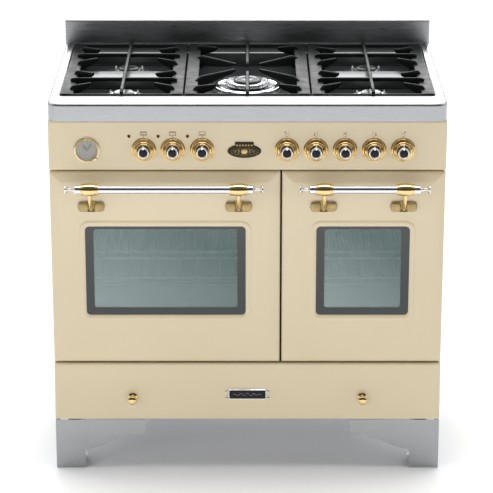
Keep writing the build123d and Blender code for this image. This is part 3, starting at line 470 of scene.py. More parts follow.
class RANGE_OT_finishes(bpy.types.Operator):
    """Make every material and give the CAD pieces that stay visible theirs"""
    bl_idname = "range.finishes"
    bl_label = "Finishes"

    def execute(self, context):
        colours = context.scene.range_finishes
        finishes["cream"] = cream_enamel(tuple(colours.enamel))
        for name, label, share, roughness in (("steel_x", "brushed_steel_across", 1.0, 0.3),
                                              # 0.8 makes a darker copy of the worktop steel: painted shade on
                                              # the bracket feet, low by the floor.
                                              ("shaded_steel_foot", "brushed_steel_feet", 0.8, 0.34),
                                              # 0.42 makes a darker copy of the worktop steel: painted shade
                                              # on the hob shelves down in the pan.
                                              ("shelf", "brushed_steel_shelf_shaded", 0.42, 0.36)):
            finishes[name] = brushed_steel(label, tuple(c * share for c in colours.steel), "x", roughness)
        finishes["aluminium"] = brushed_steel("cast_aluminium", (0.74, 0.75, 0.76), "z", 0.32)
        for name, label, colour, roughness in (
                ("brass", "polished_brass", tuple(colours.brass), 0.12),
                # The rosettes' brass is the polished brass at half brightness: painted shade.
                ("shaded_brass", "rosette_brass", tuple(c * 0.5 for c in colours.brass), 0.34),
                ("aged_brass", "aged_brass", (0.48, 0.36, 0.16), 0.25),
                ("pale_gold", "pale_gold_plate", (0.86, 0.74, 0.50), 0.30),
                ("bronze", "aged_bronze", (0.055, 0.045, 0.028), 0.28),
                ("chrome", "chrome", (0.82, 0.83, 0.85), 0.06),
                ("crown", "polished_crown", (0.80, 0.81, 0.82), 0.16)):
            finishes[name] = polished_metal(label, colour, roughness)
        for name, label, colour, roughness in (("pan", "black_pan_enamel", (0.022, 0.024, 0.026), 0.16),
                                               ("oven", "oven_enamel", (0.10, 0.11, 0.115), 0.3),
                                               ("cap", "burner_cap_enamel", (0.02, 0.02, 0.022), 0.3)):
            finishes[name] = black_enamel(label, colour, roughness)
        for name, label, colour, roughness, more in (
                ("frame", "frame_enamel", (0.008, 0.007, 0.006), 0.5, {}),
                ("knob_black", "black_knob_inlay", (0.006, 0.006, 0.007), 0.3, {"Specular_IOR_Level": 0.25}),
                ("ink", "dark_print", (0.02, 0.014, 0.010), 0.5, {}),
                ("dial", "dial_paint", (0.17, 0.14, 0.09), 0.4, {}),
                ("lamp", "red_lamp", (0.085, 0.004, 0.004), 0.15, {}),
                ("ceramic", "white_ceramic", (0.82, 0.81, 0.78), 0.25, {}),
                ("rubber", "black_rubber", (0.02, 0.02, 0.02), 0.6, {}),
                ("lens", "clear_lens", (0.95, 0.97, 0.97), 0.02, {"Alpha": 0.12}),
                ("wire", "rack_wire", (0.85, 0.87, 0.87), 0.4, {"Metallic": 1.0})):
            finishes[name] = material(label, colour, roughness=roughness, **more)
        spread(finishes["wire"], pattern(finishes["wire"], size=90.0), 0.32, 0.5, "Roughness")
        tint(finishes["dial"], pattern(finishes["dial"], size=160.0), (0.15, 0.125, 0.08),
             (0.20, 0.165, 0.11))
        finishes["iron"] = cast_iron(tuple(colours.iron))
        finishes["zinc"] = galvanised((0.6, 0.61, 0.63))
        keeps = {
            # The bracket feet wear the darker steel copy, painted shade.
            "steel_x": ("backsplash",), "shaded_steel_foot": ("bracket_feet",), "cream": ("side_panels",),
            "zinc": ("back_panel", "base_frame", "drawer_box", "drawer_runners", "gas_pipes",
                     "grill_elements"),
            "oven": ("main_oven_cavity", "side_oven_cavity", "main_door_liner", "side_door_liner"),
            "frame": ("front_frame",), "wire": ("oven_racks",), "chrome": ("levelling_feet",),
            "aluminium": ("tap_and_switch_bodies",), "rubber": ("cable_gland",),
            "ceramic": ("burner_electrodes",), "lens": ("clock_glass",), "dial": ("clock_dial",),
            "brass": tuple(f"tap_plug_{number}" for number in range(1, 6))}
        for name, pieces in keeps.items():
            for piece in pieces:
                wear(piece, finishes[name])
        return {"FINISHED"}


class RANGE_OT_worktop(bpy.types.Operator):
    """Steel worktop with its rolled edge and recess, and the black hob pan inside it"""
    bl_idname = "range.worktop"
    bl_label = "Worktop and hob pan"

    def execute(self, context):
        low, high, middle = place_of("worktop")
        tray_low, tray_high, tray = place_of("hob_tray")
        size, flange = high - low, 0.010
        recess = (tray_high[0] - tray_low[0] - 2 * flange, tray_high[1] - tray_low[1] - 2 * flange)
        roll, corner = 0.007, 0.028
        angle = np.linspace(0, pi / 2, 7)
        stages = [(size[0] - 0.004, size[1] - 0.004, corner, low[2]), (size[0], size[1], corner, low[2]),
                  (size[0], size[1], corner, high[2] - roll - 0.001)]
        stages += [(size[0] - 2 * roll * (1 - cos(a)), size[1] - 2 * roll * (1 - cos(a)),
                    corner - roll * (1 - cos(a)), high[2] - roll * (1 - sin(a))) for a in angle]
        stages.append((size[0] - 2 * roll - 0.003, size[1] - 2 * roll - 0.003, corner - roll, high[2]))
        outer = top_rings(middle[0], middle[1], stages)
        lip = [(recess[0] + 0.006, recess[1] + 0.006, 0.014, high[2]),
               (recess[0] + 0.004, recess[1] + 0.004, 0.014, high[2] + 0.0006),
               (recess[0], recess[1], 0.012, high[2] + 0.0004),
               (recess[0] - 0.001, recess[1] - 0.001, 0.012, high[2] - 0.002),
               (recess[0] - 0.001, recess[1] - 0.001, 0.012, high[2] - 0.004),
               (recess[0] + 0.002, recess[1] + 0.002, 0.012, high[2] - 0.004)]
        inner = top_rings(tray[0], tray[1], lip)
        back = top_rings(middle[0], middle[1], [(size[0] - 0.016, size[1] - 0.016, 0.02, high[2] - 0.004),
                                                (size[0] - 0.004, size[1] - 0.004, corner, high[2] - 0.010)])
        rings = np.concatenate([outer, inner, back])
        square_back(rings, high[1], corner)
        make("steel_worktop", [grid(rings, wrap_u=True)], [finish("steel_x")], "range_body", ["worktop"])
        self.pan(tray, recess, tray_high[2], tray_low[2])
        return {"FINISHED"}

    def pan(self, tray, recess, top, bottom):
        """The pan: walls fall from the flange and roll into the floor, with dishes and steel shelves."""
        wall, bend = 0.0016, 0.010
        angle = np.linspace(0, pi / 2, 6)
        width, depth = recess[0] - 2 * wall, recess[1] - 2 * wall
        floor = tray_floor_height()
        stages = [(recess[0] + 0.016, recess[1] + 0.016, 0.014, top - 0.0002), (width, depth, 0.012, top)]
        stages += [(width - 2 * bend * (1 - cos(a)) - 0.004, depth - 2 * bend * (1 - cos(a)) - 0.004,
                    0.016, floor + bend * (1 - sin(a))) for a in angle]
        stages += [(width - 2 * bend - 0.012, depth - 2 * bend - 0.012, 0.014, floor),
                   (0.02, 0.01, 0.004, floor)]
        under = [(0.02, 0.01, 0.004, bottom), (width - 0.004, depth - 0.004, 0.012, bottom),
                 (recess[0], recess[1], 0.012, top - 0.003), (recess[0] + 0.016, recess[1] + 0.016, 0.014,
                                                              top - 0.0015)]
        rings = top_rings(tray[0], tray[1], stages + under)
        dishes = []
        for x, y, wok in burner_places():
            if wok:
                profile, bend = [(-0.0005, 0.078), (0.004, 0.078), (0.0056, 0.075), (0.0045, 0.069),
                                 (0.0010, 0.064), (0.0008, 0.02)], 0.003
            else:
                profile, bend = [(-0.0005, 0.068), (0.003, 0.062), (0.0035, 0.054), (0.0005, 0.042),
                                 (0.0005, 0.02)], 0.004
            dishes.append(turned(rounded(profile, bend), (x, y, floor), UP, slot=int(wok)))
        places = burner_places()
        shelf_top, shelf_half, rear_depth, sunk = top - 0.008, 0.136, 0.056, 0.0005
        front_y, back_y = places[0][1] + 0.094, places[1][1] - 0.080
        shelves = [block((x - shelf_half, front_y, floor - sunk), (x + shelf_half, back_y, shelf_top), 0.005,
                         slot=2) for x in (places[0][0], places[3][0])]
        rear = tray[1] + recess[1] / 2 - wall
        shelves.append(block((-width / 2 + 0.003, rear - rear_depth, floor - sunk),
                             (width / 2 - 0.003, rear + sunk, shelf_top + 0.005), 0.004, slot=2))
        # The shelves wear the darker steel copy: painted shade down in the pan.
        make("enamel_hob_pan", [grid(rings, wrap_u=True)] + dishes + shelves,
             [finish("pan"), finish("chrome"), finish("shelf")], "range_body", ["hob_tray"])


def square_back(rings, back_y, reach):
    """Moves the two rear corners of the worktop's outer rings out to a nearly square corner."""
    behind = np.clip((rings[..., 1] - (back_y - reach)) / reach, 0, 1)
    edge = np.abs(rings[..., 0]).max()
    outer = np.abs(rings[..., 0]) > edge - reach - 0.001
    pull = behind * outer
    square = edge - (back_y - rings[..., 1]).clip(0.0)
    target = np.sign(rings[..., 0]) * np.maximum(np.abs(rings[..., 0]), square)
    rings[..., 0] = np.where(pull > 0, np.clip(target, -edge, edge), rings[..., 0])


def tray_floor_height():
    """The floor of the hob pan, found from the underside of the burner caps."""
    cap_rise = 0.014
    return place_of("burner_caps")[0][2] - cap_rise


def burner_places():
    """Centres of the five burners, worked out from the boxes of the caps and bodies: (x, y, is large)."""
    low, high, _ = place_of("burner_caps")
    small = 0.033
    bowl_radius, offset = 0.042, 0.112
    left, right = low[0] + small, high[0] - small
    front, back = low[1] + small, high[1] - small
    centre_y = place_of("burner_bodies")[0][1] + bowl_radius + offset
    return [(left, front, False), (left, back, False), (0.0, centre_y, True), (right, back, False),
            (right, front, False)]


class RANGE_OT_burners(bpy.types.Operator):
    """Burner cups, toothed crowns, caps and the large ring burner"""
    bl_idname = "range.burners"
    bl_label = "Burners"

    def execute(self, context):
        floor = tray_floor_height()
        bodies, caps = [], []
        for x, y, wok in burner_places():
            cup, cap, lid = (0.062, 0.050, 0.033) if wok else (0.036, 0.031, 0.025)
            top = floor + 0.005
            crown_top = top + (0.012 if wok else 0.009)
            bowl = rounded([(-0.026, 0.0), (-0.026, 0.012), (-0.008, cup - 0.004), (0.0003, cup - 0.002),
                            (0.0003, cup + 0.005), (0.0035, cup + 0.005), (0.005, cup + 0.002),
                            (0.004, cap + 0.003), (0.005, cap - 0.006), (0.007, 0.0)], 0.002)
            bodies.append(turned(bowl, (x, y, floor), UP))
            bodies.append(self.crown(x, y, top, crown_top - 0.0015, cap, 36 if wok else 24))
            cover = rounded([(-0.0020, 0.0), (-0.0018, lid), (0.0020, lid), (0.0042, lid - 0.004),
                             (0.0036, lid * 0.55), (0.0042, 0.0)], 0.003)
            caps.append(turned(cover, (x, y, crown_top), UP))
        make("burner_crowns", bodies, [finish("crown")], "range_body", ["burner_bodies"],
             crease=40)
        make("burner_lids", caps, [finish("cap")], "range_body", ["burner_caps"])
        return {"FINISHED"}

    def crown(self, x, y, bottom, top, radius, teeth):
        """A ring cut in between its teeth: r = radius - notch where cos(teeth * a) < -0.25."""
        angle = np.linspace(0, 2 * pi, teeth * 8, endpoint=False)
        notch = np.where(np.cos(teeth * angle) < -0.25, 0.004, 0.0)
        levels = [(bottom, 0.005, 0), (bottom + 0.002, -0.001, 0), (bottom + 0.0035, -0.001, 0),
                  (bottom + 0.004, -0.001, 1), (top - 0.0002, -0.001, 1), (top, 0.003, 1)]
        rings = []
        for z, inset, cut in levels:
            r = radius - inset - cut * notch
            rings.append(np.stack([x + r * np.cos(angle), y + r * np.sin(angle), np.full(len(angle), z)], -1))
        return grid(np.array(rings))


class RANGE_OT_grates(bpy.types.Operator):
    """The three cast grates: flat side bands, ribs, and tapering fingers"""
    bl_idname = "range.grates"
    bl_label = "Grates"

    def execute(self, context):
        bar = context.scene.range_sizes.bar_width
        places = burner_places()
        side = [(x, y) for x, y, wok in places if not wok]
        for name in ("left_grate", "centre_grate", "right_grate"):
            low, high, middle = place_of(name)
            mine = [p for p in side if low[0] < p[0] < high[0]]
            wok = [(x, y) for x, y, large in places if large and low[0] < x < high[0]]
            shapes = self.border(low, high, bar)
            shapes += self.ribs(low, high, middle, mine, wok, bar)
            make(f"{name}_casting", shapes, [finish("iron")], name, [name], crease=50)
        return {"FINISHED"}

    def border(self, low, high, bar):
        """Side bands and end bars as soft blocks, and four legs with splayed pads."""
        band, top, bottom = 0.030, high[2] - 0.009, high[2] - 0.015
        shapes = []
        for x0, x1 in ((low[0], low[0] + band), (high[0] - band, high[0])):
            shapes.append(block((x0, low[1], bottom), (x1, high[1], top), 0.0028))
        for y0, y1 in ((low[1], low[1] + bar), (high[1] - bar, high[1])):
            shapes.append(block((low[0], y0, bottom), (high[0], y1, top), 0.0028))
        for x in (low[0] + band / 2, high[0] - band / 2):
            for y in (low[1] + band / 2, high[1] - band / 2):
                shapes.append(turned([(low[2], 0.0055), (low[2] + 0.004, 0.006), (bottom + 0.001, 0.007)],
                                     (x, y, 0), UP, around=20))
        return shapes

    def ribs(self, low, high, middle, burners, wok, bar):
        """Ribs over the burners and fingers from both bands, each a rounded section along a line."""
        band, top = 0.030, high[2]
        shapes = []
        for x, y in burners:
            shapes.append(rib((low[0] + band / 2, y), (high[0] - band / 2, y), top, bar * 0.8, 0.009, 0.012))
            for side in (-1, 1):
                root_x = high[0] - band + 0.004 if side > 0 else low[0] + band - 0.004
                for ahead in (-1, 1):
                    shapes.append(finger((root_x, y + ahead * 0.072), (x + side * 0.050, y + ahead * 0.030),
                                         0.048, top, bar))
        if burners:
            shapes.append(rib((middle[0], low[1] + 0.002), (middle[0], high[1] - 0.002), top, bar, 0.011))
        for x, y in wok:
            opening = 0.038
            shapes.append(rib((x, low[1] + 0.002), (x, y - opening), top, bar, 0.011))
            shapes.append(rib((x, y + opening), (x, high[1] - 0.002), top, bar, 0.011))
            for side in (-1, 1):
                root_x = high[0] - band + 0.004 if side > 0 else low[0] + band - 0.004
                for offset in (-0.105, 0.120):
                    length = float(np.hypot(root_x - x, offset)) - 0.040
                    shapes.append(finger((root_x, y + offset), (x, y), length, top, bar))
                for offset in (-0.190, 0.215):
                    shapes.append(finger((root_x, y + offset), (x, y + offset * 0.75), 0.048, top, bar))
        return shapes


def section(width, height):
    """A rounded bar section, its top edge at 0 and its body below."""
    flat = outline(width, height, width * 0.32, corner=3)
    return flat - np.array((0, height / 2))


def rib(start, end, top, width, height, haunch=0.0):
    """A straight bar at a level top, its ends dipping slightly.

    A haunch deepens both ends: depth = height + haunch * (1 - d / 55 mm) while d, the distance from
    the nearer end, is under 55 mm.
    """
    t = np.linspace(0, 1, 40)[:, None]
    start, end = np.asarray(start, float), np.asarray(end, float)
    flat = start * (1 - t) + end * t
    away = np.minimum(t, 1 - t) * np.linalg.norm(end - start)
    dip = 0.004 * np.clip(1 - away / 0.012, 0, 1) ** 2
    deep = height + haunch * np.clip(1 - away / 0.055, 0, 1)
    scale = np.hstack([np.ones_like(deep), deep / 0.010])
    return swept(np.hstack([flat, top - dip]), section(width, 0.010), scale)


def finger(root, aim, length, top, width):
    """A finger from the band: it rises from the band in a curve, runs level and tapers to its tip.

    Its height falls from deep at the root to shallow at the tip: h = 0.021 * (1 - s) ** 0.7 + 0.007.
    """
    root, aim = np.asarray(root, float), np.asarray(aim, float)
    heading = (aim - root) / np.linalg.norm(aim - root)
    s = np.linspace(0, 1, 20)[:, None]
    flat = root - heading * 0.010 + heading * (length + 0.010) * s
    rise = top - 0.013 * np.clip(1 - s / 0.22, 0, 1) ** 2
    deep = 0.021 * (1 - s) ** 0.7 + 0.007
    scale = np.hstack([1.0 - 0.25 * s, deep / 0.01])
    return swept(np.hstack([flat, rise]), section(width, 0.010), scale)


class RANGE_OT_fronts(bpy.types.Operator):
    """Control panel fascia, door skins and drawer front in one-piece pressed enamel"""
    bl_idname = "range.fronts"
    bl_label = "Enamelled fronts"

    def execute(self, context):
        sizes = context.scene.range_sizes
        for node, name, body, edge in (("control_panel", "panel_fascia", "range_body", sizes.fascia_edge),
                                       ("drawer_front", "drawer_face", "storage_drawer", 0.005)):
            low, high, middle = place_of(node)
            make(name, [self.slab(low, high, middle, edge)], [finish("cream")], body, [node])
        for door in ("main_door", "side_door"):
            self.door(door, sizes)
        return {"FINISHED"}

    def slab(self, low, high, middle, edge):
        """A shallow tray turned to the front: sides, a rounded edge, a flat face, and an open hollow back."""
        width, height = high[0] - low[0], high[2] - low[2]
        angle = np.linspace(0, pi / 2, 7)
        stages = [(width, height, 0.002, high[1])]
        stages += [(width - 2 * edge * (1 - cos(a)), height - 2 * edge * (1 - cos(a)), 0.003,
                    low[1] + edge * (1 - sin(a))) for a in angle]
        stages.append((width - 2 * edge - 0.004, height - 2 * edge - 0.004, 0.003, low[1]))
        wall = 0.0012
        inside = [(width - 2 * edge - 0.004, height - 2 * edge - 0.004, 0.003, low[1] + wall),
                  (width - 2 * wall, height - 2 * wall, 0.002, low[1] + edge + wall),
                  (width - 2 * wall, height - 2 * wall, 0.002, high[1])]
        rings = front_rings(middle[0], middle[2], stages[::-1] + inside[::-1])
        return grid(rings)

    def door(self, door, sizes):
        """Door skin: sides, a soft sloped border, a flat face and a raised lip round the window."""
        low, high, middle = place_of(f"{door}_skin")
        glass_low, glass_high, glass = place_of(f"{door}_glasses")
        width, height, face = high[0] - low[0], high[2] - low[2], low[1]
        window = (glass_high[0] - glass_low[0] - 2 * sizes.pane_overlap,
                  glass_high[2] - glass_low[2] - 2 * sizes.pane_overlap)
        bevel, fall = sizes.bevel_width, sizes.bevel_depth
        height, middle = height - 2 * sizes.seam_ease, (middle[0], middle[1], middle[2] - sizes.seam_ease)
        slope = rounded([(0.0, high[1] - face), (0.0, fall), (bevel * 0.5, fall * 0.42), (bevel, 0.0),
                         (bevel + 0.010, 0.0)], 0.006, steps=6)
        stages = [(width - 2 * inset, height - 2 * inset, 0.002 + inset * 0.06, face + depth)
                  for inset, depth in slope]
        outer = front_rings(middle[0], middle[2], stages)
        lip = rounded([(0.020, 0.0), (0.014, 0.0), (0.0105, -0.0012), (0.007, -0.0014), (0.002, 0.0),
                       (0.0, 0.0012), (0.0, 0.0022), (0.004, 0.0022)], 0.003)
        inner = front_rings(glass[0], glass[2], [(window[0] + 2 * out, window[1] + 2 * out, 0.010 + out,
                                                  face + depth) for out, depth in lip])
        back = front_rings(middle[0], middle[2], [(width - 0.05, height - 0.05, 0.004, face + 0.0022),
                                                  (width - 0.003, height - 0.003, 0.002, face + fall + 0.002),
                                                  (width - 0.003, height - 0.003, 0.002, high[1])])
        make(f"{door}_face", [grid(np.concatenate([outer, inner, back]), wrap_u=True)], [finish("cream")],
             door, [f"{door}_skin"])
        side, above, below = sizes.glass_border, sizes.glass_border * 0.35, sizes.glass_border * 0.95
        clear = (window[0] - 2 * side, window[1] - above - below)
        centre = (glass[0], glass[2] + (below - above) / 2)
        wear(f"{door}_glasses",
             window_glass(f"{door}_window_glass", centre, clear, 0.006, glass_low[1] + 0.010))


class RANGE_OT_handles(bpy.types.Operator):
    """Chrome bars with turned finials, brass sockets, arms and rosettes"""
    bl_idname = "range.handles"
    bl_label = "Door handles"

    def execute(self, context):
        for door in ("main_door", "side_door"):
            low, high, middle = place_of(f"{door}_handle")
            mount_low, mount_high, _ = place_of(f"{door}_handle_mounts")
            radius, rosette = 0.00875, 0.061
            reach = (mount_high[0] - mount_low[0] - rosette) / 2
            centre = (middle[0], middle[1], middle[2])
            socket = 0.020
            tip = (high[0] - low[0]) / 2
            bar = [turned([(-reach + socket - 0.002, radius), (reach - socket + 0.002, radius)], centre,
                          (1, 0, 0))]
            for side in (-1, 1):
                bar.append(turned(self.finial(tip - reach - socket, radius),
                                  (middle[0] + side * (reach + socket), middle[1], middle[2]), (side, 0, 0)))
            make(f"{door}_bar", bar, [finish("chrome")], door, [f"{door}_handle"])
            brass = []
            for side in (-1, 1):
                brass += self.bracket(middle[0] + side * reach, middle, mount_low, mount_high, radius)
            # Slot 1, the rosette plates and pads, takes the half-bright brass: painted shade.
            make(f"{door}_brackets", brass, [finish("brass"), finish("shaded_brass")], door,
                 [f"{door}_handle_mounts"])
        return {"FINISHED"}

    def finial(self, length, r):
        """Turned end: a collar as thick as the bar, a cone to a thin neck, and a thin flared button."""
        return rounded([(0.0, r), (0.0, r + 0.0012), (0.0125, r + 0.0012), (0.0138, r - 0.0010),
                        (0.0160, 0.0040), (length * 0.62, 0.0026), (length * 0.78, 0.0034),
                        (length * 0.90, 0.0088), (length * 0.92, 0.0100), (length * 0.97, 0.0100),
                        (length, 0.0078), (length, 0.0)], 0.0014, steps=3)

    def bracket(self, x, handle, mount_low, mount_high, r):
        """Socket barrel, a blade arm that sweeps from the rosette up to it, and an oval rosette."""
        half = 0.020
        ridge = [(half, 0.0), (half, 0.0040), (half - 0.0030, 0.0048), (half - 0.0045, 0.0030),
                 (half - 0.0075, 0.0046), (0.004, 0.0057)]
        barrel = rounded([(-t, r + rise) for t, rise in ridge] + [(t, r + rise) for t, rise in ridge[::-1]],
                         0.0018, steps=3)
        face = mount_high[1]
        rosette_z = mount_low[2] + 0.0125
        pieces = [turned(barrel, (x, handle[1], handle[2]), (1, 0, 0))]
        path = curve([(x, face + 0.001, rosette_z), (x, face - 0.012, rosette_z + 0.0005),
                      (x, face - 0.030, rosette_z + 0.010), (x, handle[1] + 0.008, handle[2] - 0.028),
                      (x, handle[1] + 0.0005, handle[2] - 0.008)], 8)
        t = np.linspace(0, 1, len(path))[:, None]
        size = np.hstack([0.0115 - 0.0065 * np.clip(t * 1.8, 0, 1) ** 0.8, 0.0050 - 0.0008 * np.sin(pi * t)])
        pieces.append(swept(path, outline(2.0, 2.0, 0.9, 4), size, up=(1, 0, 0.001)))
        pieces.append(self.plate(x, face, rosette_z))
        for side in (-1, 1):
            pieces.append(self.petal(x + side * 0.0180, face, rosette_z))
        return pieces

    def plate(self, x, face, z):
        """An oval back plate with a rounded rim, 61 mm wide."""
        stages = [(1.0, 0.0), (1.0, 0.0020), (0.985, 0.0030), (0.95, 0.0034), (0.90, 0.0030), (0.1, 0.0030)]
        return oval(x, face, z, 0.0305, 0.0132, stages, 64, slot=1)

    def petal(self, x, face, z):
        """A raised pad each side of the arm: a superellipse |u|^3 + |v|^3 = 1 with a domed face."""
        stages = [(1.0, 0.0025), (1.0, 0.0044), (0.93, 0.0056), (0.75, 0.0063), (0.4, 0.0067), (0.1, 0.0068)]
        return oval(x, face, z, 0.0118, 0.0122, stages, 48, power=3.0, slot=1)


class RANGE_OT_knobs(bpy.types.Operator):
    """The eight control knobs with brass skirts, chrome rings and black inlays, and their bezels"""
    bl_idname = "range.knobs"
    bl_label = "Control knobs"

    def execute(self, context):
        bezels = []
        face = place_of("knob_bezels")[1][1]
        for name in OVEN_KNOBS + BURNER_KNOBS:
            low, _, middle = place_of(name)
            self.knob(name, low, middle)
            bezels.append(turned(rounded([(0.0, 0.007), (0.0, 0.028), (0.0016, 0.028), (0.0024, 0.0262),
                                          (0.0045, 0.0250), (0.0050, 0.0236), (0.0044, 0.0225),
                                          (0.0044, 0.007)], 0.0012), (middle[0], face, middle[2]),
                                 FRONT))
        make("brass_bezels", bezels, [finish("brass")], "range_body", ["knob_bezels"])
        return {"FINISHED"}

    def knob(self, name, low, middle):
        """Lathe skirt, dark groove, ring and inlay along the knob's axis, and a pointer tab at twelve."""
        length = 0.027
        origin = (middle[0], low[1] + length, middle[2])
        skirt = rounded([(0.0, 0.004), (0.0, 0.0200), (0.0028, 0.0222), (0.0060, 0.0208), (0.0078, 0.0178),
                         (0.0100, 0.0168), (0.0118, 0.0168), (0.0126, 0.0158), (0.0120, 0.0140)], 0.0016)
        groove = rounded([(0.0110, 0.0150), (0.0190, 0.0142), (0.0205, 0.0134), (0.0205, 0.0115)], 0.0010)
        ring = rounded([(0.0195, 0.0118), (0.0198, 0.0130), (0.0222, 0.0134), (0.0244, 0.0124),
                        (0.0250, 0.0108), (0.0236, 0.0096)], 0.0012)
        inlay = rounded([(0.0225, 0.0100), (0.0238, 0.0094), (0.0248, 0.0060), (0.0251, 0.0)], 0.002)
        shapes = [turned(skirt, origin, FRONT), turned(groove, origin, FRONT, slot=2),
                  turned(ring, origin, FRONT, slot=1), turned(inlay, origin, FRONT, slot=2),
                  turned([(-0.040, 0.004), (0.001, 0.004)], origin, FRONT, around=24)]
        front = origin[1] - length
        shapes.append(block((middle[0] - 0.0016, front, middle[2] + 0.0080),
                            (middle[0] + 0.0016, front + 0.0060, middle[2] + 0.0165), 0.0008, slot=1))
        shapes.append(block((middle[0] - 0.0014, front, middle[2] - 0.0125),
                            (middle[0] + 0.0014, front + 0.0040, middle[2] - 0.0090), 0.0006, slot=1))
        make(f"{name}_finished", shapes, [finish("brass"), finish("chrome"), finish("knob_black")], name,
             [name])


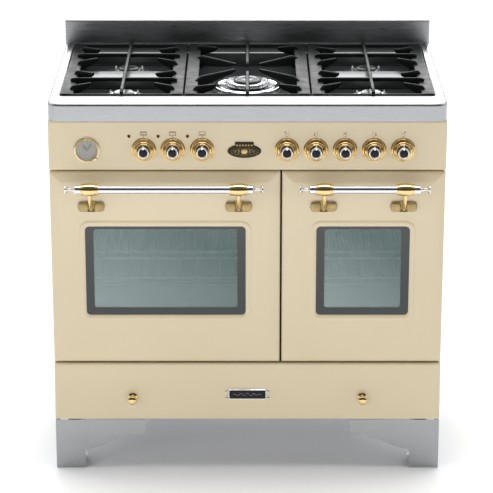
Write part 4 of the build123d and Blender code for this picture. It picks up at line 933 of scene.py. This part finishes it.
class RANGE_OT_panel_details(bpy.types.Operator):
    """Clock, pilot lamps, plain oval badge and the small printed symbols"""
    bl_idname = "range.panel_details"
    bl_label = "Panel details"

    def execute(self, context):
        self.clock()
        self.lamps()
        self.badge()
        self.symbols()
        return {"FINISHED"}

    def clock(self):
        """The clock: a pale rim, a brass inner ring, twelve marks, two hands and the setting knob."""
        middle = place_of("clock_case")[2]
        dial_low = place_of("clock_dial")[0]
        face = place_of("knob_bezels")[1][1]
        origin = (middle[0], face, middle[2])
        rim = rounded([(-0.0010, 0.0262), (-0.0002, 0.0300), (0.0020, 0.0300), (0.0036, 0.0291),
                       (0.0045, 0.0276), (0.0045, 0.0266), (-0.0010, 0.0262)], 0.0008)
        brow = rounded([(-0.0008, 0.0252), (-0.0006, 0.0268), (0.0050, 0.0270), (0.0068, 0.0262),
                        (0.0070, 0.0250), (0.0060, 0.0242), (0.0012, 0.0240), (-0.0008, 0.0252)], 0.0008)
        shell = [(-0.024, 0.0), (-0.024, 0.0245), (-0.0018, 0.0245), (-0.0018, 0.0)]
        make("clock_bezel", [turned(rim, origin, FRONT, ring=True), turned(shell, origin, FRONT),
                             turned(brow, origin, FRONT, slot=1, ring=True)],
             [finish("pale_gold"), finish("brass")], "range_body", ["clock_case"])
        front = dial_low[1]
        marks = []
        for hour in range(12):
            angle = hour * pi / 6
            long = 0.0036 if hour % 3 == 0 else 0.0022
            inner = np.array((sin(angle), 0, cos(angle))) * (0.0215 - long)
            outer = np.array((sin(angle), 0, cos(angle))) * 0.0215
            base = np.array((middle[0], front - 0.00006, middle[2]))
            t = np.linspace(0, 1, 3)[:, None]
            marks.append(swept(base + inner * (1 - t) + outer * t, outline(0.0009, 0.00022, 0.0001, 2),
                               up=FRONT))
        make("clock_marks", marks, [finish("ink")], "range_body")
        self.hand("hour_hand", middle, -40.0, 0.0150, 0.0072)
        self.hand("minute_hand", middle, 35.0, 0.0195, 0.0058)
        knob_low, knob_high, knob = place_of("clock_knob")
        start, reach = knob_high[1], knob_high[1] - knob_low[1]
        crown = rounded([(0.0, 0.0015), (reach - 0.0058, 0.0015), (reach - 0.0056, 0.0030),
                         (reach - 0.0046, 0.0042), (reach - 0.0014, 0.0042), (reach - 0.0002, 0.0030),
                         (reach, 0.0)], 0.0007)
        make("clock_setting_knob", [turned(crown, (knob[0], start, knob[2]), FRONT, around=32)],
             [finish("brass")], "clock_knob", ["clock_knob"])

    def hand(self, name, middle, angle, length, width):
        """A leaf-shaped hand: its half width swells and narrows as sin(pi * t) along its length."""
        low, high, _ = place_of(name)
        turn = radians(angle)
        along, across = np.array((sin(turn), 0, cos(turn))), np.array((cos(turn), 0, -sin(turn)))
        t = np.linspace(0, 1, 14)
        swell = np.sin(pi * np.clip(t * 0.9 + 0.05, 0, 1)) ** 0.8
        half = width * 0.5 * (0.25 + 0.75 * swell) * (1 - t * 0.35)
        centre = np.array((middle[0], low[1] + 0.0003, middle[2])) + np.outer(t * length, along)
        flat = outline(2.0, 1.0, 0.3, 2)
        rings = (centre[:, None] + flat[None, :, :1] * half[:, None, None] * across
                 + flat[None, :, 1:] * np.array((0, 0.0005, 0)))
        shapes = [grid(rings), turned([(0.0, 0.0022), (0.0007, 0.0020), (0.0008, 0.0)],
                                      (middle[0], low[1] + 0.0006, middle[2]), FRONT, around=24)]
        shapes.append(turned([(0.0, 0.001), (-(high[1] - low[1]) + 0.001, 0.001)],
                             (middle[0], low[1] + 0.0006, middle[2]), FRONT, around=16))
        make(f"{name}_leaf", shapes, [finish("knob_black")], name, [name])

    def lamps(self):
        """Three red lens caps in small brass collars."""
        low, high, middle = place_of("pilot_lights")
        face = place_of("knob_bezels")[1][1]
        radius = 0.0047
        lamps = []
        for x in np.linspace(low[0] + radius, high[0] - radius, 3):
            lamps.append(turned(rounded([(-0.010, 0.0034), (0.0, 0.0034), (0.0, 0.0047), (0.0008, 0.0046),
                                         (0.0011, 0.0036)], 0.0006), (x, face, middle[2]), FRONT, 32, 1))
            dome = np.linspace(0, pi / 2, 8)
            lens = np.stack([0.0008 + 0.0024 * np.sin(dome), 0.0035 * np.cos(dome)], -1)
            lamps.append(turned(lens, (x, face, middle[2]), FRONT, around=32))
        make("pilot_lamps", lamps, [finish("lamp"), finish("brass")], "range_body", ["pilot_lights"])

    def badge(self):
        """An oval plaque with a beaded rim and a plain leaf scroll each side of a smooth boss."""
        low, high, middle = place_of("panel_badge")
        wide, tall, face = (high[0] - low[0]) / 2, (high[2] - low[2]) / 2, high[1]
        tall *= 0.86
        lower = middle[2] - (high[2] - low[2]) / 2 + tall
        rim = [(1.0, 0.0), (1.0, 0.0018), (0.97, 0.0030), (0.93, 0.0031), (0.90, 0.0022), (0.88, 0.0016)]
        field = [(0.89, 0.0010), (0.885, 0.0018), (0.5, 0.0021), (0.1, 0.0022)]
        shapes = [oval(middle[0], face, lower, wide, tall, stages, 96, slot=1) for stages in (rim, field)]
        top = lower + tall
        shapes.append(block((middle[0] - 0.021, face - 0.0034, top - 0.0070),
                            (middle[0] + 0.021, face, high[2]), 0.0012, slot=1))
        for place in np.linspace(-0.0165, 0.0165, 6):
            shapes.append(turned(rounded([(0.0030, 0.0022), (0.0042, 0.0020), (0.0046, 0.0)], 0.0006),
                                 (middle[0] + place, face, top - 0.0012), FRONT, around=16))
        middle = np.array((middle[0], middle[1], lower))
        for side in (-1, 1):
            for index in range(3):
                t = np.linspace(0, 1, 30)
                curl = 0.0045 + 0.010 * t
                turn = pi * (1.4 * t + 0.25 * index)
                path = np.stack([middle[0] + side * (0.010 + 0.0075 * index + curl * np.cos(turn) * 0.55),
                                 np.full(30, face - 0.0026),
                                 middle[2] + curl * np.sin(turn) * 0.72 * (1 - 0.2 * index)], -1)
                shapes.append(tube(path, 0.0007 * (1 - 0.7 * t) + 0.0002))
        boss = rounded([(0.0015, 0.0075), (0.0028, 0.0072), (0.0034, 0.0040), (0.0035, 0.0)], 0.001)
        shapes.append(turned(boss, (middle[0], face, middle[2]), FRONT, around=40))
        make("oval_badge", shapes, [finish("aged_brass"), finish("bronze")], "range_body", ["panel_badge"])

    def symbols(self):
        """Printed marks above the knobs: dots for the burners and a small oven for the ovens."""
        face = place_of("knob_bezels")[1][1] - 0.0002
        marks = []
        for name, active in zip(BURNER_KNOBS, (1, 0, 2, 4, 3)):
            middle = place_of(name)[2]
            z = middle[2] + 0.038
            layout = ((-1, -1), (-1, 1), (0, 0), (1, 1), (1, -1))
            for index, (dx, dz) in enumerate(layout):
                radius = 0.0017 if index == active else 0.0009
                marks.append(turned([(0.0, radius), (0.00015, radius), (0.0002, 0.0)],
                                    (middle[0] + dx * 0.0036, face + 0.0002, z + dz * 0.0030), FRONT, 16))
        for name, bars in zip(OVEN_KNOBS, ((0.6, -0.6), (0.6,), (-0.6,))):
            middle = place_of(name)[2]
            x, z = middle[0], middle[2] + 0.038
            rings = front_rings(x, z, [(0.0150, 0.0090, 0.001, face + 0.0002), (0.0150, 0.0090, 0.001, face),
                                       (0.0130, 0.0070, 0.0008, face),
                                       (0.0130, 0.0070, 0.0008, face + 0.0002)])
            marks.append(grid(rings, wrap_u=True))
            for place in bars:
                marks.append(block((x - 0.0050, face, z + place * 0.0040 - 0.0005),
                                   (x + 0.0050, face + 0.0003, z + place * 0.0040 + 0.0005), 0.0001))
        for name in OVEN_KNOBS + BURNER_KNOBS:
            middle = place_of(name)[2]
            marks.append(turned([(0.0, 0.0011), (0.00015, 0.0011), (0.0002, 0.0)],
                                (middle[0], face + 0.0002, middle[2] + 0.0305), FRONT, 16))
        make("panel_symbols", marks, [finish("ink")], "range_body")


class RANGE_OT_drawer_details(bpy.types.Operator):
    """Turned brass drawer knobs and the plain framed plate"""
    bl_idname = "range.drawer_details"
    bl_label = "Drawer details"

    def execute(self, context):
        low, high, middle = place_of("drawer_knobs")
        profile = rounded([(0.0, 0.0), (0.0, 0.0110), (0.0016, 0.0110), (0.0030, 0.0085), (0.0045, 0.0056),
                           (0.0120, 0.0048), (0.0160, 0.0070), (0.0190, 0.0102), (0.0225, 0.0110),
                           (0.0262, 0.0098), (0.0288, 0.0060), (0.0297, 0.0)], 0.0022, steps=5)
        knobs = [turned(profile, (x, high[1], middle[2]), FRONT) for x in (low[0] + 0.011, high[0] - 0.011)]
        make("brass_drawer_knobs", knobs, [finish("brass")], "storage_drawer", ["drawer_knobs"])
        self.plate()
        return {"FINISHED"}

    def plate(self):
        """A black field in a raised metal frame, with two scrolls at each end and a plain wave inside."""
        low, high, middle = place_of("name_plate")
        width, height, face = high[0] - low[0] - 0.018, high[2] - low[2], high[1]
        rim = front_rings(middle[0], middle[2], [
            (width, height, 0.005, face), (width, height, 0.005, face - 0.0020),
            (width - 0.0012, height - 0.0012, 0.0045, face - 0.0028),
            (width - 0.0036, height - 0.0036, 0.0035, face - 0.0028),
            (width - 0.0044, height - 0.0044, 0.0032, face - 0.0016), (0.02, 0.002, 0.0009, face - 0.0016),
            (0.02, 0.002, 0.0009, face)])
        field = front_rings(middle[0], middle[2], [
            (width - 0.0040, height - 0.0040, 0.0032, face - 0.0010),
            (width - 0.0044, height - 0.0044, 0.0032, face - 0.0018), (0.02, 0.002, 0.0009, face - 0.0018)])
        shapes = [grid(rim, wrap_u=True), grid(field, slot=1)]
        t = np.linspace(0, 1, 40)
        for side in (-1, 1):
            for lift in (-1, 1):
                turn, r = 1.9 * pi * t, 0.0052 * (1 - 0.72 * t)
                path = np.stack([middle[0] + side * (width / 2 + 0.0032 - 0.004 * t + r * np.cos(turn) * 0.8),
                                 np.full(40, face - 0.0016),
                                 middle[2] + lift * (0.0052 + r * np.sin(turn) * 0.9)], -1)
                shapes.append(tube(path, 0.0010))
        wave = np.stack([middle[0] + (t - 0.5) * width * 0.74, np.full(40, face - 0.0021),
                         middle[2] + 0.0032 * np.sin(t * 9 * pi) * np.sin(pi * t)], -1)
        shapes.append(tube(wave, 0.00055))
        make("framed_plate", shapes, [finish("chrome"), finish("knob_black")], "storage_drawer",
             ["name_plate"])


class RANGE_OT_stage(bpy.types.Operator):
    """Pale floor, soft lights, world and camera"""
    bl_idname = "range.stage"
    bl_label = "Stage"

    def execute(self, context):
        colours = context.scene.range_finishes
        floor = bpy.data.objects.new("studio_floor", bpy.data.meshes.new("studio_floor"))
        reach = 40.0
        corners = [(-reach, -reach, 0), (reach, -reach, 0), (reach, reach, 0), (-reach, reach, 0)]
        floor.data.from_pydata(corners, [], [(0, 1, 2, 3)])
        floor.data.materials.append(material("studio_floor_paint", tuple(colours.floor), roughness=0.7))
        context.scene.collection.objects.link(floor)
        for name, place, aim, size, power in (
                ("key_light", (-2.4, -3.0, 1.6), (0, 0, 0.2), 1.8, 27.0),
                ("fill_light", (2.8, -2.6, 1.2), (0, 0, 0.2), 1.6, 12.0),
                ("low_light", (0.0, -2.4, 0.25), (0, -0.3, 0.1), 2.4, 20.0),
                ("top_light", (0.0, -0.2, 3.6), (0, 0.2, 0.9), 2.6, 40.0),
                ("rear_light", (0.0, 3.6, 2.0), (0, 0, 0.9), 3.0, 46.0)):
            lamp = bpy.data.lights.new(name, "AREA")
            lamp.shape = "RECTANGLE"
            lamp.size, lamp.size_y, lamp.energy = size, size * 0.6, power
            holder = bpy.data.objects.new(name, lamp)
            holder.location = place
            holder.rotation_euler = look(place, aim)
            holder.visible_camera = False
            holder.visible_glossy = name in ("top_light", "rear_light")
            context.scene.collection.objects.link(holder)
        self.world(context)
        self.camera(context)
        return {"FINISHED"}

    def world(self, context):
        """White behind the range, dark at the horizon and dim in front, for the metal to show."""
        world = bpy.data.worlds.new("studio_world")
        world.use_nodes = True
        background = world.node_tree.nodes["Background"]
        coordinate = node(world, "ShaderNodeTexCoord")
        split = node(world, "ShaderNodeSeparateXYZ", {"Vector": coordinate.outputs["Generated"]})
        sky = ramp(world, split.outputs["Z"], (0.0, (0.10, 0.10, 0.11)), (0.55, (1.0, 1.0, 1.0)))
        depth = node(world, "ShaderNodeMapRange", {
            "Value": split.outputs["Y"], "From Min": -0.45, "From Max": 0.30, "To Min": 0.10, "To Max": 1.85},
            interpolation_type="SMOOTHSTEP")
        dim = node(world, "ShaderNodeVectorMath", {0: sky, "Scale": depth.outputs["Result"]},
                   operation="SCALE")
        world.node_tree.links.new(dim.outputs["Vector"], background.inputs["Color"])
        background.inputs["Strength"].default_value = 1.05
        context.scene.world = world
        context.scene.view_settings.view_transform = "Standard"

    def camera(self, context):
        """A long lens in front of the range and a little above it, tilted down."""
        lens = bpy.data.cameras.new("studio_camera")
        lens.sensor_width = 36.0
        lens.lens = 166.6
        stand, tilt = (-0.0021, -5.2216, 2.1822), 0.3179
        holder = bpy.data.objects.new("studio_camera", lens)
        holder.location = stand
        holder.rotation_euler = (pi / 2 - tilt, 0, 0)
        context.scene.collection.objects.link(holder)
        context.scene.camera = holder


def look(place, aim):
    """Turn about X then Z that points an object's -Z from place to aim."""
    dx, dy, dz = (a - p for a, p in zip(aim, place))
    return (atan2((dx * dx + dy * dy) ** 0.5, -dz), 0, atan2(dy, dx) - pi / 2)


STEPS = (RANGE_OT_finishes, RANGE_OT_worktop, RANGE_OT_burners, RANGE_OT_grates, RANGE_OT_fronts,
         RANGE_OT_handles, RANGE_OT_knobs, RANGE_OT_panel_details, RANGE_OT_drawer_details, RANGE_OT_stage)


class RANGE_PT_sidebar(bpy.types.Panel):
    """Lists the range's settings and building steps"""
    bl_idname = "RANGE_PT_sidebar"
    bl_label = "Gas range"
    bl_space_type = "VIEW_3D"
    bl_region_type = "UI"
    bl_category = "Range"

    def draw(self, context):
        for group in (context.scene.range_finishes, context.scene.range_sizes):
            for name in group.__annotations__:
                self.layout.prop(group, name)
        for step in STEPS:
            self.layout.operator(step.bl_idname)


CLASSES = (RangeFinishes, RangeSizes, *STEPS, RANGE_PT_sidebar)


def register():
    for cls in CLASSES:
        bpy.utils.register_class(cls)
    bpy.types.Scene.range_finishes = bpy.props.PointerProperty(type=RangeFinishes)
    bpy.types.Scene.range_sizes = bpy.props.PointerProperty(type=RangeSizes)


def unregister():
    del bpy.types.Scene.range_sizes
    del bpy.types.Scene.range_finishes
    for cls in reversed(CLASSES):
        bpy.utils.unregister_class(cls)


def main():
    register()
    for step in STEPS:
        group, name = step.bl_idname.split(".")
        getattr(getattr(bpy.ops, group), name)()


if __name__ == "__main__":
    main()
